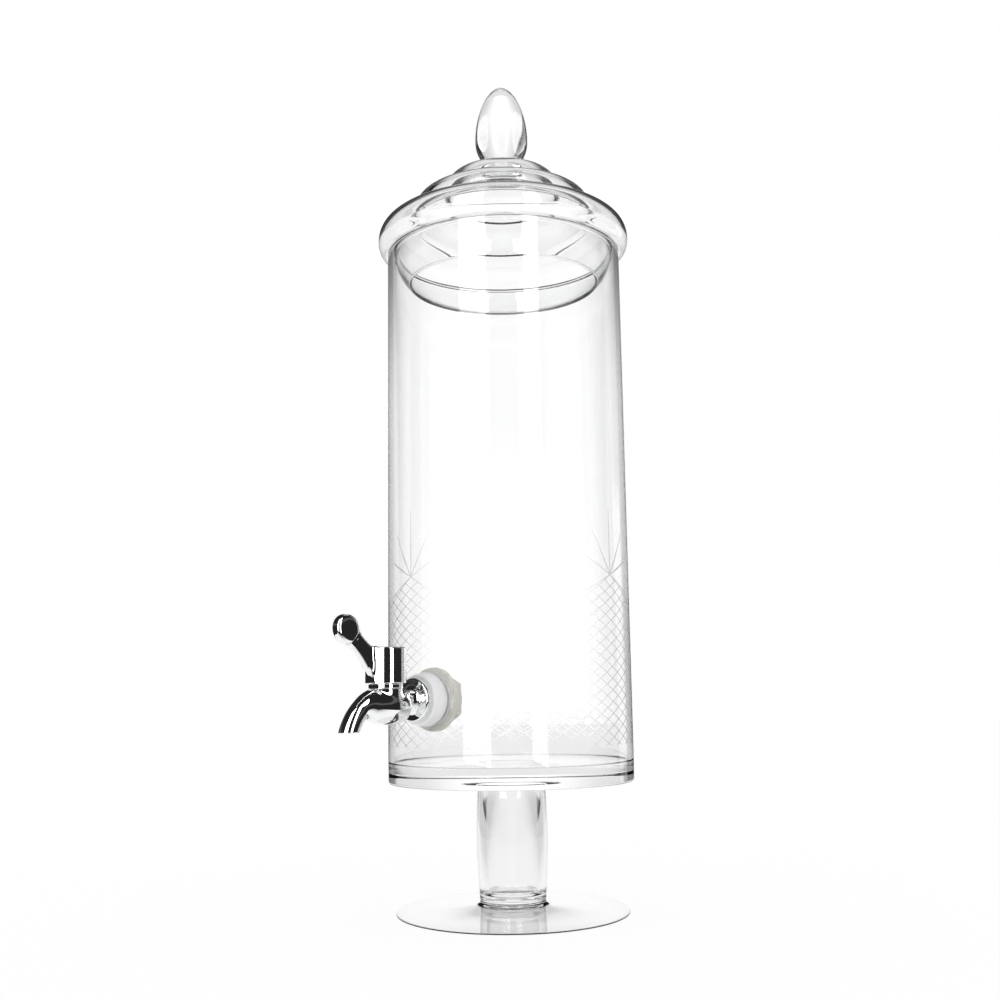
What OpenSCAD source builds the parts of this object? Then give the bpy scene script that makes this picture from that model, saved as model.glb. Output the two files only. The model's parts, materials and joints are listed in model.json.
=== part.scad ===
// Glass beverage dispenser: a tall jar on a pedestal, a loose blown lid and a chrome lever tap.
// Millimetres, +Z up. The origin is the centre of the foot's underside, and the tap points to -Y.

/* [Jar] */
// Outside diameter of the jar
jar_d = 132; // [120:1:150]
// Height of the jar from its underside to its rim
jar_h = 294; // [220:1:340]
// Thickness of the jar's wall
jar_wall = 4; // [3:0.25:5]
// Thickness of the jar's base
jar_base = 10.5; // [8:0.5:14]
// Radius of the outer bottom corner
jar_corner = 5; // [2:0.5:7]
// Radius between the wall and the floor inside
jar_floor_round = 4; // [1:0.5:6]
// Rounding of the rim's two edges
rim_round = 1; // [0.5:0.1:1.4]

/* [Pedestal] */
// Diameter of the foot
foot_d = 123.5; // [100:0.5:140]
// Thickness of the foot at its edge
foot_edge = 2; // [1.5:0.1:3]
// Height of the foot where the stem stands on it
foot_crown = 6; // [5:0.5:9]
// Radius of the fillet round the stem's seat
foot_fillet = 2; // [1:0.25:3]
// Height of the stem
stem_h = 61.8; // [40:0.2:90]
// Diameter of the stem at the foot
stem_foot_d = 35; // [28:0.5:42]
// How far the stem's belly swells on each side
stem_swell = 1.25; // [0:0.25:3]
// Diameter of the stem at the jar
stem_top_d = 36; // [28:0.5:42]
// Wall of the hollow stem
stem_wall = 5; // [3:0.5:7]
// Glass left under the stem's hollow
stem_floor = 9; // [6:0.5:14]
// Rounding of the stem's bottom edge
stem_round = 1.5; // [0.5:0.25:2]

/* [Lid] */
// Wall of the blown lid
lid_wall = 2.8; // [2:0.1:3.5]
// Gap between the lid and the jar, at the seat and round the collar
lid_gap = 0.3; // [0.2:0.1:0.8]
// How far the brim stands out over the jar
brim_over = 5.3; // [3:0.1:9]
// Height of the brim's widest point above the rim
brim_z = 7.3; // [5:0.1:10]
// Height of the brim's shoulder above its widest point
brim_rise = 13.9; // [9:0.1:18]
// Width of the brim's rounded shoulder
brim_shoulder = 17.1; // [12:0.1:20]
// Ledge between the brim and the middle tier
brim_ledge = 3.2; // [2:0.1:5]
// Height of the middle tier
mid_rise = 14.3; // [10:0.1:18]
// Width of the middle tier's shoulder
mid_shoulder = 9.2; // [6:0.1:11]
// Ledge between the middle tier and the top tier
mid_ledge = 9; // [4:0.1:10]
// Height of the top tier
top_rise = 15.3; // [10:0.1:20]
// Flat round the finial's base
top_flat = 6.4; // [3:0.1:7]
// Radius in the grooves between the tiers
tier_groove = 1.5; // [0.5:0.1:2]
// How far the collar hangs down into the jar
collar_depth = 17.7; // [12:0.1:26]
// How far the collar draws in below the rim
collar_taper = 7.5; // [3:0.1:10]

/* [Finial] */
// Diameter of the egg
finial_d = 30.4; // [24:0.2:36]
// Height of the egg's widest point above the lid
finial_belly_z = 21.2; // [19.5:0.1:26]
// Height of the egg above its widest point
finial_tip = 32; // [22:0.5:40]
// Height of the egg's lower half
finial_under = 19; // [15:0.5:19]
// Diameter of the neck
finial_neck_d = 16; // [12:0.5:20]
// Flare of the neck onto the lid
finial_flare = 2; // [1:0.25:3]

/* [Tap fitting] */
// Height of the tap's axis above the jar's underside
tap_up = 44.2; // [36:0.2:80]
// Outside diameter of the shank's thread
shank_d = 15.5; // [13:0.5:17]
// Thread pitch of the shank
thread_pitch = 1.5; // [1:0.25:2]
// Thread depth of the shank
thread_depth = 0.75; // [0.5:0.05:1]
// How far the shank stands past the lock nut
shank_past = 4; // [1.5:0.5:5]
// Radial gap between the shank and the hole in the glass
hole_gap = 0.5; // [0.3:0.1:1]
// Diameter of both washers
washer_d = 32; // [28:0.5:36]
// Diameter of the outer washer's front face
washer_front_d = 26; // [23:0.5:28]
// Rounding of the outer washer's edges
washer_round = 1; // [0.5:0.1:1.5]
// Thickness of the outer washer at the tap's axis
outer_washer_t = 6.5; // [4:0.25:9]
// Thickness of the inner washer at the tap's axis
inner_washer_t = 4.5; // [3.5:0.25:6]
// Width of the lock nut across its flats
nut_flats = 22; // [20.5:0.5:26]
// Diameter of the lock nut's round flange
nut_flange_d = 27; // [24:0.5:30]
// Thickness of the lock nut's round flange
nut_flange_t = 2; // [1.5:0.25:3]
// Whole thickness of the lock nut
nut_t = 7.5; // [6:0.25:10]

/* [Tap body] */
// Diameter of the chrome flange
flange_d = 21.5; // [19:0.5:23]
// Thickness of the chrome flange
flange_t = 5; // [4:0.25:7]
// Rounding of the flange's edges
flange_round = 1.2; // [0.5:0.1:1.8]
// Diameter of the waist between flange and barrel
waist_d = 11.6; // [11:0.1:13]
// Diameter of the shank's spigot inside the waist
spigot_d = 8.6; // [8:0.1:9]
// Depth of the spigot in the body
spigot_in = 6.5; // [4:0.25:7]
// Bore of the shank and the inlet
inlet_d = 6.4; // [5:0.1:6.6]
// Largest diameter of the barrel
barrel_d = 17.4; // [16.4:0.1:19]
// How far the barrel's axis lies below the tap's axis
barrel_drop = 2.9; // [2:0.1:3.4]
// Length of the barrel behind the plug's axis
barrel_back = 10.5; // [10:0.25:11.5]
// Rounding of the barrel's back edge
barrel_round = 1.2; // [0.5:0.1:2]
// Length of the barrel's nose past the plug's axis
barrel_nose = 18; // [15:0.25:19]
// Distance of the plug's axis out from the jar
plug_out = 27.8; // [27:0.1:32]
// Outside diameter of the spout
spout_d = 9.7; // [9.4:0.1:11]
// Bore of the spout
spout_bore = 7.4; // [6:0.1:7.6]
// Radius of the spout's bend
spout_bend = 25.8; // [23:0.1:30]
// Height of the spout's centre line above the tap's axis at the plug
spout_top = 2.4; // [1:0.1:3]
// How far the outlet lies below the tap's axis
spout_drop = 14.5; // [12:0.1:18]
// Diameter of the neck that carries the bonnet
neck_d = 16.4; // [15.6:0.1:17]
// Height of the neck above the tap's axis
neck_up = 5.9; // [5.8:0.1:7]

/* [Valve] */
// Bore of the plug's chamber
chamber_d = 11.2; // [10:0.1:11.4]
// Depth of the chamber below the tap's axis
chamber_down = 7; // [6.8:0.1:8]
// Running clearance of the plug, on the radius
run_gap = 0.05; // [0.03:0.01:0.08]
// Assembly clearance between fixed pieces, on the radius
seat_gap = 0.05; // [0.02:0.01:0.1]
// Cross bore of the plug
plug_bore = 6.4; // [5:0.1:6.6]
// Thickness of an O-ring's section
o_ring_t = 1.7; // [1.4:0.05:1.8]
// Depth of the lower O-ring below the tap's axis
o_ring_low = 5; // [4.6:0.1:5.4]
// Height of the upper O-ring above the neck
o_ring_high = 1.2; // [1.1:0.1:1.6]
// Diameter of the plug's stem
plug_stem_d = 8; // [6.6:0.1:8.2]
// Flat on the stem that drives it, measured from the axis
stem_flat = 3; // [2.6:0.1:3.2]
// Height of the visible bonnet ring
bonnet_ring_t = 2.1; // [1.5:0.1:3]
// Diameter of the visible bonnet ring
bonnet_ring_d = 17; // [16.4:0.1:18]
// Depth of the bonnet's skirt in the neck
bonnet_skirt = 1.2; // [0.6:0.1:1.3]
// Wall of the bonnet's skirt
bonnet_skirt_wall = 1.25; // [1:0.05:1.3]
// Height of the bonnet's tower inside the cap
bonnet_tower = 4; // [3.8:0.1:5]
// Thickness of the bonnet's lip
bonnet_lip = 2.3; // [1.5:0.1:2.5]
// Thickness of the thrust washer
thrust_t = 0.6; // [0.4:0.1:0.8]
// Thickness of the port seal
port_seal_t = 1.8; // [1.4:0.1:2]
// Wall of the port seal
port_seal_wall = 1.3; // [0.8:0.1:1.4]

/* [Handle] */
// Diameter of the cap
cap_d = 20.1; // [19.4:0.1:22]
// Height of the cap
cap_h = 17.5; // [17:0.1:20]
// Gap between the cap and the bonnet
cap_gap = 0.3; // [0.2:0.05:0.6]
// Wall of the cap's skirt
cap_wall = 2; // [1.2:0.1:2.2]
// Rounding of the cap's top edge
cap_round = 1; // [0.4:0.1:1.3]
// Length of the plug's stem inside the cap
stem_in_cap = 7; // [5:0.1:7.4]
// Thickness of the web that the screw clamps
cap_web = 1.7; // [1.2:0.1:2]
// Diameter of the screw's thread
screw_d = 3; // [2.5:0.1:4]
// Diameter of the screw's head
screw_head_d = 5.6; // [5:0.1:6.5]
// Height of the screw's head
screw_head_t = 1.6; // [1.2:0.1:1.8]
// Length of the screw below its head
screw_l = 9; // [6:0.25:10]
// Diameter of the cover disc
cover_d = 12; // [8:0.25:14]
// Thickness of the cover disc
cover_t = 1.4; // [1:0.1:1.6]
// Height of the arm's axis above the cap's bottom, at the cap's side
arm_up = 11.2; // [9:0.1:12]
// Rise of the arm above level, in degrees
arm_rise = 42; // [30:1:50]
// Length from the cap's side to the knob's centre
arm_l = 21.5; // [18:0.25:28]
// Diameter of the arm at the cap
arm_root_d = 8.2; // [7:0.1:9]
// Smallest diameter of the arm
arm_waist_d = 6.4; // [5:0.1:7]
// Diameter of the arm at the knob
arm_tip_d = 7.8; // [7:0.1:8.4]
// Diameter of the stud in the knob
stud_d = 4; // [3:0.1:5]
// Length of the stud in the knob
stud_l = 5; // [3:0.25:6]
// Thickness of the knob
knob_d = 12.6; // [11:0.1:15]
// Length of the knob's whole egg
knob_l = 15.2; // [13:0.1:19]

/* [Hidden] */
$fn = 96;

// A little more than enough, for cuts that run past a face
past = 1;
// Facets of one rounded stretch of an outline
steps = 8;

// Pedestal and jar heights from the table
jar_z = foot_crown + stem_h;
rim_z = jar_z + jar_h;
jar_r = jar_d / 2;
jar_bore_r = jar_r - jar_wall;
tap_z = jar_z + tap_up;

// Lid radii from the brim inwards, and heights above the rim
seat_in_r = jar_bore_r - lid_gap;
seat_out_r = jar_r + lid_gap;
brim_r = jar_r + brim_over;
brim_in_r = brim_r - brim_shoulder;
mid_r = brim_in_r - brim_ledge;
mid_in_r = mid_r - mid_shoulder;
top_r = mid_in_r - mid_ledge;
top_in_r = finial_neck_d / 2 + finial_flare + top_flat;
brim_top_z = brim_z + brim_rise;
mid_top_z = brim_top_z + mid_rise;
lid_top_z = mid_top_z + top_rise;
collar_r = seat_in_r - collar_taper;
// How square the lid's shoulders are: 1 is an ellipse, less is squarer
brim_power = 0.89;
tier_power = 0.78;
// The collar's curve ends at this angle, in degrees
collar_turn = 60;
// The collar's curve starts just under the seat
collar_start = -1;

// Finial outline
finial_r = finial_d / 2;
finial_neck_r = finial_neck_d / 2;
finial_neck_angle = acos(finial_neck_r / finial_r);
// How pointed the egg is: 1 is an ellipse, more is sharper
finial_power = 1.1;

// Tap stations along its axis, from the jar's outer wall outwards
flange_z = outer_washer_t;
waist_z = flange_z + flange_t;
inner_face_z = -jar_wall - inner_washer_t;
nut_end_z = inner_face_z - nut_t;
shank_end_z = nut_end_z - shank_past;
shank_r = shank_d / 2;
plug_y = jar_r + plug_out;
spout_centre_z = spout_top - spout_bend;
outlet_angle = asin((-spout_drop - spout_centre_z) / spout_bend);
// The waterway joins the spout's bend this far up, in degrees
spout_join = 65;
// The bend runs on past the outlet's level cut, in degrees
spout_past = 15;

// Valve heights above the tap's axis
chamber_r = chamber_d / 2;
plug_r = chamber_r - run_gap;
bonnet_top_z = neck_up + bonnet_ring_t + bonnet_tower;
lip_z = bonnet_top_z - bonnet_lip;
thrust_z = lip_z - thrust_t;
plug_top_z = thrust_z - run_gap;
plug_foot_z = -chamber_down + cap_gap;
o_ring_r = chamber_r - run_gap - o_ring_t / 2;
groove_r = o_ring_r - o_ring_t / 2 - seat_gap;
groove_half = o_ring_t / 2 + seat_gap;
skirt_r = chamber_r + bonnet_skirt_wall;

// Handle heights above the tap's axis
cap_z = neck_up + bonnet_ring_t + cap_gap;
cap_top_z = cap_z + cap_h;
cap_r = cap_d / 2;
socket_z = bonnet_top_z + cap_gap;
stem_top_z = socket_z + stem_in_cap;
web_z = stem_top_z + cap_gap;
head_z = web_z + cap_web;
cover_z = cap_top_z - cover_t;
arm_z = cap_z + arm_up;
knob_r = knob_d / 2;
// Where the arm's end meets the knob, back from the knob's centre
knob_seat = knob_l / 2 * sqrt(1 - pow((arm_tip_d / 2 + seat_gap) / knob_r, 2));
// The arm starts inside the cap
arm_back = 8;
// Share of the arm's length at which it is thinnest
arm_waist_at = 0.6;

// Points of an arc about c
function arc(c, r, a0, a1, n = steps) =
    [for (i = [0:n]) let (a = a0 + (a1 - a0) * i / n) [c[0] + r * cos(a), c[1] + r * sin(a)]];
// Points of an elliptical arc about c
function oval(c, rx, ry, a0, a1, n = steps) =
    [for (i = [0:n]) let (a = a0 + (a1 - a0) * i / n) [c[0] + rx * cos(a), c[1] + ry * sin(a)]];
// Rounded shoulder from an upright edge at r0, z0 inwards to a level edge at r1, z1
function shoulder(r0, z0, r1, z1, p, n = steps) =
    [for (i = [0:n]) let (a = 90 * i / n)
        [r1 + (r0 - r1) * pow(cos(a), p), z0 + (z1 - z0) * pow(sin(a), p)]];
function tail(list) = [for (i = [1:len(list) - 1]) list[i]];
function back(list) = [for (i = [len(list) - 1:-1:0]) list[i]];

// Local Z points out along the tap's axis, local Y points up, and zero is the jar's outer wall
module at_tap() {
    translate([0, -jar_r, tap_z]) rotate([90, 0, 0]) children();
}

// Local Z is the plug's axis, and zero is the height of the tap's axis
module at_plug() {
    translate([0, -plug_y, tap_z]) children();
}

// Local Z runs along the lever's arm from the cap's side
module at_arm() {
    at_plug() translate([0, -cap_r, arm_z]) rotate([90 - arm_rise, 0, 0]) children();
}

// Ring about local Z between two radii and two heights
module ring(r_out, r_in, z0, z1) {
    difference() {
        translate([0, 0, z0]) cylinder(h = z1 - z0, r = r_out);
        translate([0, 0, z0 - past]) cylinder(h = z1 - z0 + 2 * past, r = r_in);
    }
}

module jar() {
    outer = concat(
        [[0, 0]],
        arc([jar_r - jar_corner, jar_corner], jar_corner, -90, 0),
        arc([jar_r - rim_round, jar_h - rim_round], rim_round, 0, 90),
        arc([jar_bore_r + rim_round, jar_h - rim_round], rim_round, 90, 180));
    inner = concat(
        arc([jar_bore_r - jar_floor_round, jar_base + jar_floor_round], jar_floor_round, 0, -90),
        [[0, jar_base]]);
    color([0.86, 0.93, 0.94]) difference() {
        translate([0, 0, jar_z]) rotate_extrude() polygon(concat(outer, inner));
        at_tap() translate([0, 0, -jar_wall - past])
            cylinder(h = jar_wall + 2 * past, r = shank_r + hole_gap);
    }
}

// Stem radius at a share t of its height, a straight taper with a swollen belly
function stem_r(t) = (stem_foot_d + (stem_top_d - stem_foot_d) * t) / 2 + stem_swell * sin(180 * t);

module stem() {
    first = stem_round / stem_h;
    side = [for (i = [0:2 * steps]) let (t = first + (1 - first) * i / (2 * steps)) [stem_r(t), stem_h * t]];
    dome = stem_foot_d / 2 - stem_wall;
    floor_t = (stem_floor + dome / 2) / stem_h;
    hollow = [for (i = [0:2 * steps]) let (t = 1 + (floor_t - 1) * i / (2 * steps))
        [stem_r(t) - stem_wall, stem_h * t]];
    hollow_r = stem_r(floor_t) - stem_wall;
    foot_corner = arc([side[0][0] - stem_round, stem_round], stem_round, -90, 0);
    floor_curve = oval([0, stem_floor + dome / 2], hollow_r, dome / 2, 0, -90);
    color([0.86, 0.93, 0.94]) translate([0, 0, foot_crown]) rotate_extrude()
        polygon(concat([[0, 0]], foot_corner, tail(side), hollow, tail(floor_curve)));
}

module foot() {
    edge_r = foot_edge / 2;
    seat_r = stem_foot_d / 2;
    rim = arc([foot_d / 2 - edge_r, edge_r], edge_r, -90, 90);
    fillet = arc([seat_r + foot_fillet, foot_crown], foot_fillet, 270, 180);
    color([0.88, 0.94, 0.95]) rotate_extrude()
        polygon(concat([[0, 0]], rim, fillet, [[0, foot_crown]]));
}

// One face of the collar, from its lip up to just under the seat, w inside the outer face
function collar(w) =
    [for (i = [steps:-1:0]) let (a = collar_turn * i / steps)
        [seat_in_r - w - collar_taper * (1 - cos(a)) / (1 - cos(collar_turn)),
         collar_start - (collar_depth + collar_start - lid_wall / 2) * sin(a) / sin(collar_turn)]];

module lid_shell() {
    w = lid_wall;
    g = tier_groove;
    outer = concat(
        collar(0),
        [[seat_in_r, lid_gap]],
        oval([seat_out_r, brim_z], brim_r - seat_out_r, brim_z - lid_gap, -90, 0),
        tail(shoulder(brim_r, brim_z, brim_in_r, brim_top_z, brim_power)),
        arc([mid_r + g, brim_top_z + g], g, 270, 180),
        tail(shoulder(mid_r, brim_top_z + g, mid_in_r, mid_top_z, tier_power)),
        arc([top_r + g, mid_top_z + g], g, 270, 180),
        tail(shoulder(top_r, mid_top_z + g, top_in_r, lid_top_z, tier_power)),
        [[0, lid_top_z]]);
    inner = concat(
        [[0, lid_top_z - w]],
        back(shoulder(top_r - w, mid_top_z - w, top_in_r, lid_top_z - w, tier_power)),
        back(shoulder(mid_r - w, brim_top_z - w, mid_in_r, mid_top_z - w, tier_power)),
        back(shoulder(brim_r - w, brim_z, brim_in_r, brim_top_z - w, brim_power)),
        tail(oval([seat_in_r, brim_z], brim_r - w - seat_in_r, brim_z - lid_gap - w, 0, -90)),
        tail(arc([seat_in_r, lid_gap], w, 90, 180)),
        back(collar(w)));
    lip = arc([collar_r - w / 2, w / 2 - collar_depth], w / 2, 180, 360);
    color([0.88, 0.94, 0.95]) translate([0, 0, rim_z]) rotate_extrude()
        polygon(concat(outer, inner, [for (i = [1:len(lip) - 2]) lip[i]]));
}

module lid_finial() {
    flare = arc([finial_neck_r + finial_flare, finial_flare], finial_flare, 270, 180);
    under = oval([0, finial_belly_z], finial_r, finial_under, -finial_neck_angle, 0);
    tip = shoulder(finial_r, finial_belly_z, 0, finial_belly_z + finial_tip, 1, 2 * steps);
    egg = [for (p = tip) [finial_r * pow(max(0, p[0] / finial_r), finial_power), p[1]]];
    color([0.86, 0.92, 0.93]) translate([0, 0, rim_z + lid_top_z]) rotate_extrude()
        polygon(concat([[0, 0]], flare, under, tail(egg)));
}

module outer_washer() {
    back_r = washer_d / 2;
    front_r = washer_front_d / 2;
    // Lean of the washer's tapered side, in degrees
    lean = atan2(back_r - front_r, flange_z - 2 * washer_round);
    color("WhiteSmoke") difference() {
        at_tap() rotate_extrude() polygon(concat(
            [[0, -jar_wall], [back_r, -jar_wall]],
            arc([back_r - washer_round, washer_round], washer_round, 0, lean),
            arc([front_r - washer_round, flange_z - washer_round], washer_round, lean, 90),
            [[0, flange_z]]));
        translate([0, 0, jar_z]) cylinder(h = jar_h, r = jar_r + seat_gap);
        at_tap() translate([0, 0, -jar_wall - past])
            cylinder(h = jar_wall + flange_z + 2 * past, r = shank_r + seat_gap);
    }
}

module inner_washer() {
    color("WhiteSmoke") difference() {
        intersection() {
            at_tap() translate([0, 0, inner_face_z]) cylinder(h = -inner_face_z, r = washer_d / 2);
            translate([0, 0, jar_z]) cylinder(h = jar_h, r = jar_bore_r - seat_gap);
        }
        at_tap() translate([0, 0, inner_face_z - past])
            cylinder(h = past - inner_face_z + past, r = shank_r + seat_gap);
    }
}

module lock_nut() {
    hex_r = nut_flats / sqrt(3);
    color("Ivory") at_tap() difference() {
        union() {
            translate([0, 0, nut_end_z]) cylinder(h = nut_t, r = hex_r, $fn = 6);
            translate([0, 0, inner_face_z - nut_flange_t]) cylinder(h = nut_flange_t, r = nut_flange_d / 2);
        }
        translate([0, 0, nut_end_z - past]) cylinder(h = nut_t + 2 * past, r = shank_r + seat_gap);
    }
}

module tap_shank() {
    turns = floor((flange_z - shank_end_z) / thread_pitch) - 1;
    // Each ridge has a quarter of the pitch for either flank and a quarter for its crest
    crest = thread_pitch / 4;
    thread = [for (i = [0:turns - 1], k = [0:3]) let (z = shank_end_z + thread_pitch * i)
        [shank_r - (k < 1 || k > 2 ? thread_depth : 0), z + crest * (k + 0.5)]];
    spigot_end = waist_z + spigot_in;
    color("Silver") at_tap() difference() {
        rotate_extrude() polygon(concat(
            [[0, shank_end_z], [shank_r - thread_depth, shank_end_z]],
            thread,
            [[shank_r - thread_depth, flange_z], [spigot_d / 2, flange_z],
             [spigot_d / 2, spigot_end], [0, spigot_end]]));
        translate([0, 0, shank_end_z - past])
            cylinder(h = spigot_end - shank_end_z + 2 * past, r = inlet_d / 2);
    }
}

module tap_flange() {
    edge_r = flange_d / 2;
    // Straight part of the flange's edge before it sweeps in to the waist
    land = flange_t / 2;
    // How far the edge turns before the sweep, in degrees
    turn = 60;
    color("Gainsboro") at_tap() difference() {
        translate([0, 0, flange_z]) rotate_extrude() polygon(concat(
            [[0, 0]],
            arc([edge_r - flange_round, flange_round], flange_round, -90, 0),
            arc([edge_r - flange_round, land], flange_round, 0, turn),
            oval([edge_r - flange_round, flange_t], edge_r - flange_round - waist_d / 2,
                flange_t - land - flange_round, 180 + turn, 180),
            [[0, flange_t]]));
        translate([0, 0, flange_z - past])
            cylinder(h = flange_t + 2 * past, r = spigot_d / 2 + seat_gap);
    }
}

// Bent tube of the spout, from an angle above level to another, about the bend's centre
module spout_tube(d, from, to) {
    at_plug() translate([0, 0, spout_centre_z]) rotate([90, 0, -90]) rotate([0, 0, from])
        rotate_extrude(angle = to - from) translate([spout_bend, 0]) circle(d = d);
}

module tap_body() {
    barrel_r = barrel_d / 2;
    back_z = plug_out - barrel_back;
    // The barrel's back half is part of an ellipse twice as long
    back_axis = 2 * barrel_back;
    back_angle = -asin((barrel_back - barrel_round) / back_axis);
    corner = [barrel_r * cos(back_angle) - barrel_round, back_z + barrel_round];
    rear = oval([0, plug_out], barrel_r, back_axis, back_angle, 0);
    front = oval([0, plug_out], barrel_r, barrel_nose, 0, 90);
    color("Gainsboro") difference() {
        union() {
            at_tap() translate([0, -barrel_drop, 0]) rotate_extrude()
                polygon(concat([[0, back_z]], arc(corner, barrel_round, -90, 0), tail(rear), tail(front)));
            at_tap() translate([0, 0, waist_z]) cylinder(h = plug_out - waist_z, r = waist_d / 2);
            at_plug() translate([0, 0, -barrel_drop]) cylinder(h = neck_up + barrel_drop, r = neck_d / 2);
            spout_tube(spout_d, outlet_angle - spout_past, 90);
        }
        at_plug() translate([-spout_bend, -2 * spout_bend, -spout_drop - spout_bend])
            cube([2 * spout_bend, 2 * spout_bend, spout_bend]);
        at_plug() translate([0, 0, neck_up])
            cylinder(h = spout_bend, r = bonnet_ring_d / 2 + cap_gap);
        at_plug() translate([0, 0, -chamber_down]) cylinder(h = chamber_down + spout_bend, r = chamber_r);
        at_plug() translate([0, 0, neck_up - bonnet_skirt])
            cylinder(h = spout_bend, r = skirt_r + seat_gap);
        at_tap() translate([0, 0, waist_z - past])
            cylinder(h = spigot_in + past, r = spigot_d / 2 + seat_gap);
        at_tap() translate([0, 0, waist_z]) cylinder(h = plug_out - waist_z, r = inlet_d / 2);
        at_tap() translate([0, 0, plug_out - chamber_r - port_seal_t])
            cylinder(h = chamber_r, r = inlet_d / 2 + port_seal_wall + seat_gap);
        at_tap() translate([0, 0, plug_out])
            cylinder(h = spout_bend * cos(spout_join), r = inlet_d / 2);
        spout_tube(spout_bore, outlet_angle - 2 * spout_past, spout_join);
    }
}

module port_seal() {
    color("WhiteSmoke") difference() {
        at_tap()
            ring(inlet_d / 2 + port_seal_wall, inlet_d / 2, plug_out - chamber_r - port_seal_t, plug_out);
        at_plug() translate([0, 0, -chamber_down]) cylinder(h = 2 * chamber_down, r = chamber_r);
    }
}

module bonnet() {
    ring_top = neck_up + bonnet_ring_t;
    tower_r = cap_r - cap_wall - 2 * cap_gap;
    color("Gainsboro") at_plug() difference() {
        union() {
            translate([0, 0, neck_up]) cylinder(h = bonnet_ring_t, r = bonnet_ring_d / 2);
            translate([0, 0, neck_up]) cylinder(h = bonnet_top_z - neck_up, r = tower_r);
            translate([0, 0, neck_up - bonnet_skirt]) cylinder(h = bonnet_skirt + past, r = skirt_r);
        }
        translate([0, 0, neck_up - bonnet_skirt - past])
            cylinder(h = lip_z - neck_up + bonnet_skirt + past, r = chamber_r);
        translate([0, 0, ring_top]) cylinder(h = bonnet_tower + past, r = plug_stem_d / 2 + run_gap);
    }
}

module thrust_washer() {
    color("White") at_plug() ring(plug_r, plug_stem_d / 2 + run_gap, thrust_z, lip_z);
}

// Groove round the plug for an O-ring
module plug_groove(z) {
    ring(chamber_r + past, groove_r, z - groove_half, z + groove_half);
}

// D-shaped shaft about local Z, with its flat towards +Y
module drive(r, flat, z0, z1) {
    difference() {
        translate([0, 0, z0]) cylinder(h = z1 - z0, r = r);
        translate([-2 * r, flat, z0 - past]) cube([4 * r, 2 * r, z1 - z0 + 2 * past]);
    }
}

module valve_plug() {
    color("LightGrey") at_plug() difference() {
        union() {
            translate([0, 0, plug_foot_z]) cylinder(h = plug_top_z - plug_foot_z, r = plug_r);
            translate([0, 0, plug_top_z]) cylinder(h = bonnet_top_z - plug_top_z, r = plug_stem_d / 2);
            drive(plug_stem_d / 2, stem_flat, plug_top_z, stem_top_z);
        }
        rotate([0, 90, 0]) translate([0, 0, -chamber_d]) cylinder(h = 2 * chamber_d, r = plug_bore / 2);
        plug_groove(-o_ring_low);
        plug_groove(neck_up + o_ring_high);
        translate([0, 0, head_z - screw_l - past]) cylinder(h = screw_l + past, r = screw_d / 2 + seat_gap);
    }
}

module o_ring(z) {
    color("DimGrey") at_plug() translate([0, 0, z])
        rotate_extrude() translate([o_ring_r, 0]) circle(d = o_ring_t);
}

module plug_o_ring_lower() {
    o_ring(-o_ring_low);
}

module plug_o_ring_upper() {
    o_ring(neck_up + o_ring_high);
}

module tap_handle() {
    // Radius of the arm at a share t of its length, thinnest at its waist
    function arm_r(t) = t < arm_waist_at
        ? (arm_waist_d + (arm_root_d - arm_waist_d) * pow(1 - t / arm_waist_at, 2)) / 2
        : (arm_waist_d + (arm_tip_d - arm_waist_d) * pow((t - arm_waist_at) / (1 - arm_waist_at), 2)) / 2;
    arm_end = arm_l - knob_seat - seat_gap;
    arm_side = [for (i = [0:2 * steps]) let (t = i / (2 * steps)) [arm_r(t), arm_end * t]];
    color("Gainsboro") difference() {
        union() {
            at_plug() translate([0, 0, cap_z]) rotate_extrude() polygon(concat(
                [[0, 0], [cap_r, 0]],
                arc([cap_r - cap_round, cap_h - cap_round], cap_round, 0, 90),
                [[0, cap_h]]));
            at_arm() rotate_extrude() polygon(concat(
                [[0, -arm_back], [arm_root_d / 2, -arm_back]],
                arm_side,
                [[stud_d / 2, arm_end], [stud_d / 2, arm_end + stud_l], [0, arm_end + stud_l]]));
        }
        at_plug() translate([0, 0, cap_z - past])
            cylinder(h = socket_z - cap_z + past, r = cap_r - cap_wall);
        at_plug() drive(plug_stem_d / 2 + seat_gap, stem_flat + seat_gap, socket_z - past, web_z);
        at_plug() translate([0, 0, web_z - past])
            cylinder(h = cap_web + 2 * past, r = screw_d / 2 + seat_gap);
        at_plug() translate([0, 0, head_z]) cylinder(h = cap_h, r = screw_head_d / 2 + seat_gap);
        at_plug() translate([0, 0, cover_z]) cylinder(h = cap_h, r = cover_d / 2 + seat_gap);
    }
}

module lever_knob() {
    seat_r = arm_tip_d / 2 + seat_gap;
    from = acos(seat_r / knob_r);
    egg = oval([0, 0], knob_r, knob_l / 2, -from, 90, 2 * steps);
    color("Gainsboro") at_arm() translate([0, 0, arm_l]) difference() {
        rotate_extrude() polygon(concat([[0, -knob_seat]], egg));
        translate([0, 0, -knob_seat - past])
            cylinder(h = stud_l + past + seat_gap, r = stud_d / 2 + seat_gap);
    }
}

module handle_screw() {
    color("Silver") at_plug() difference() {
        union() {
            translate([0, 0, head_z - screw_l]) cylinder(h = screw_l, r = screw_d / 2);
            translate([0, 0, head_z]) cylinder(h = screw_head_t, r = screw_head_d / 2);
        }
        translate([0, 0, head_z + screw_head_t / 2]) cylinder(h = screw_head_t, r = screw_d / 2, $fn = 6);
    }
}

module screw_cover() {
    color("Gainsboro") at_plug() translate([0, 0, cover_z]) cylinder(h = cover_t, r = cover_d / 2);
}

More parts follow.
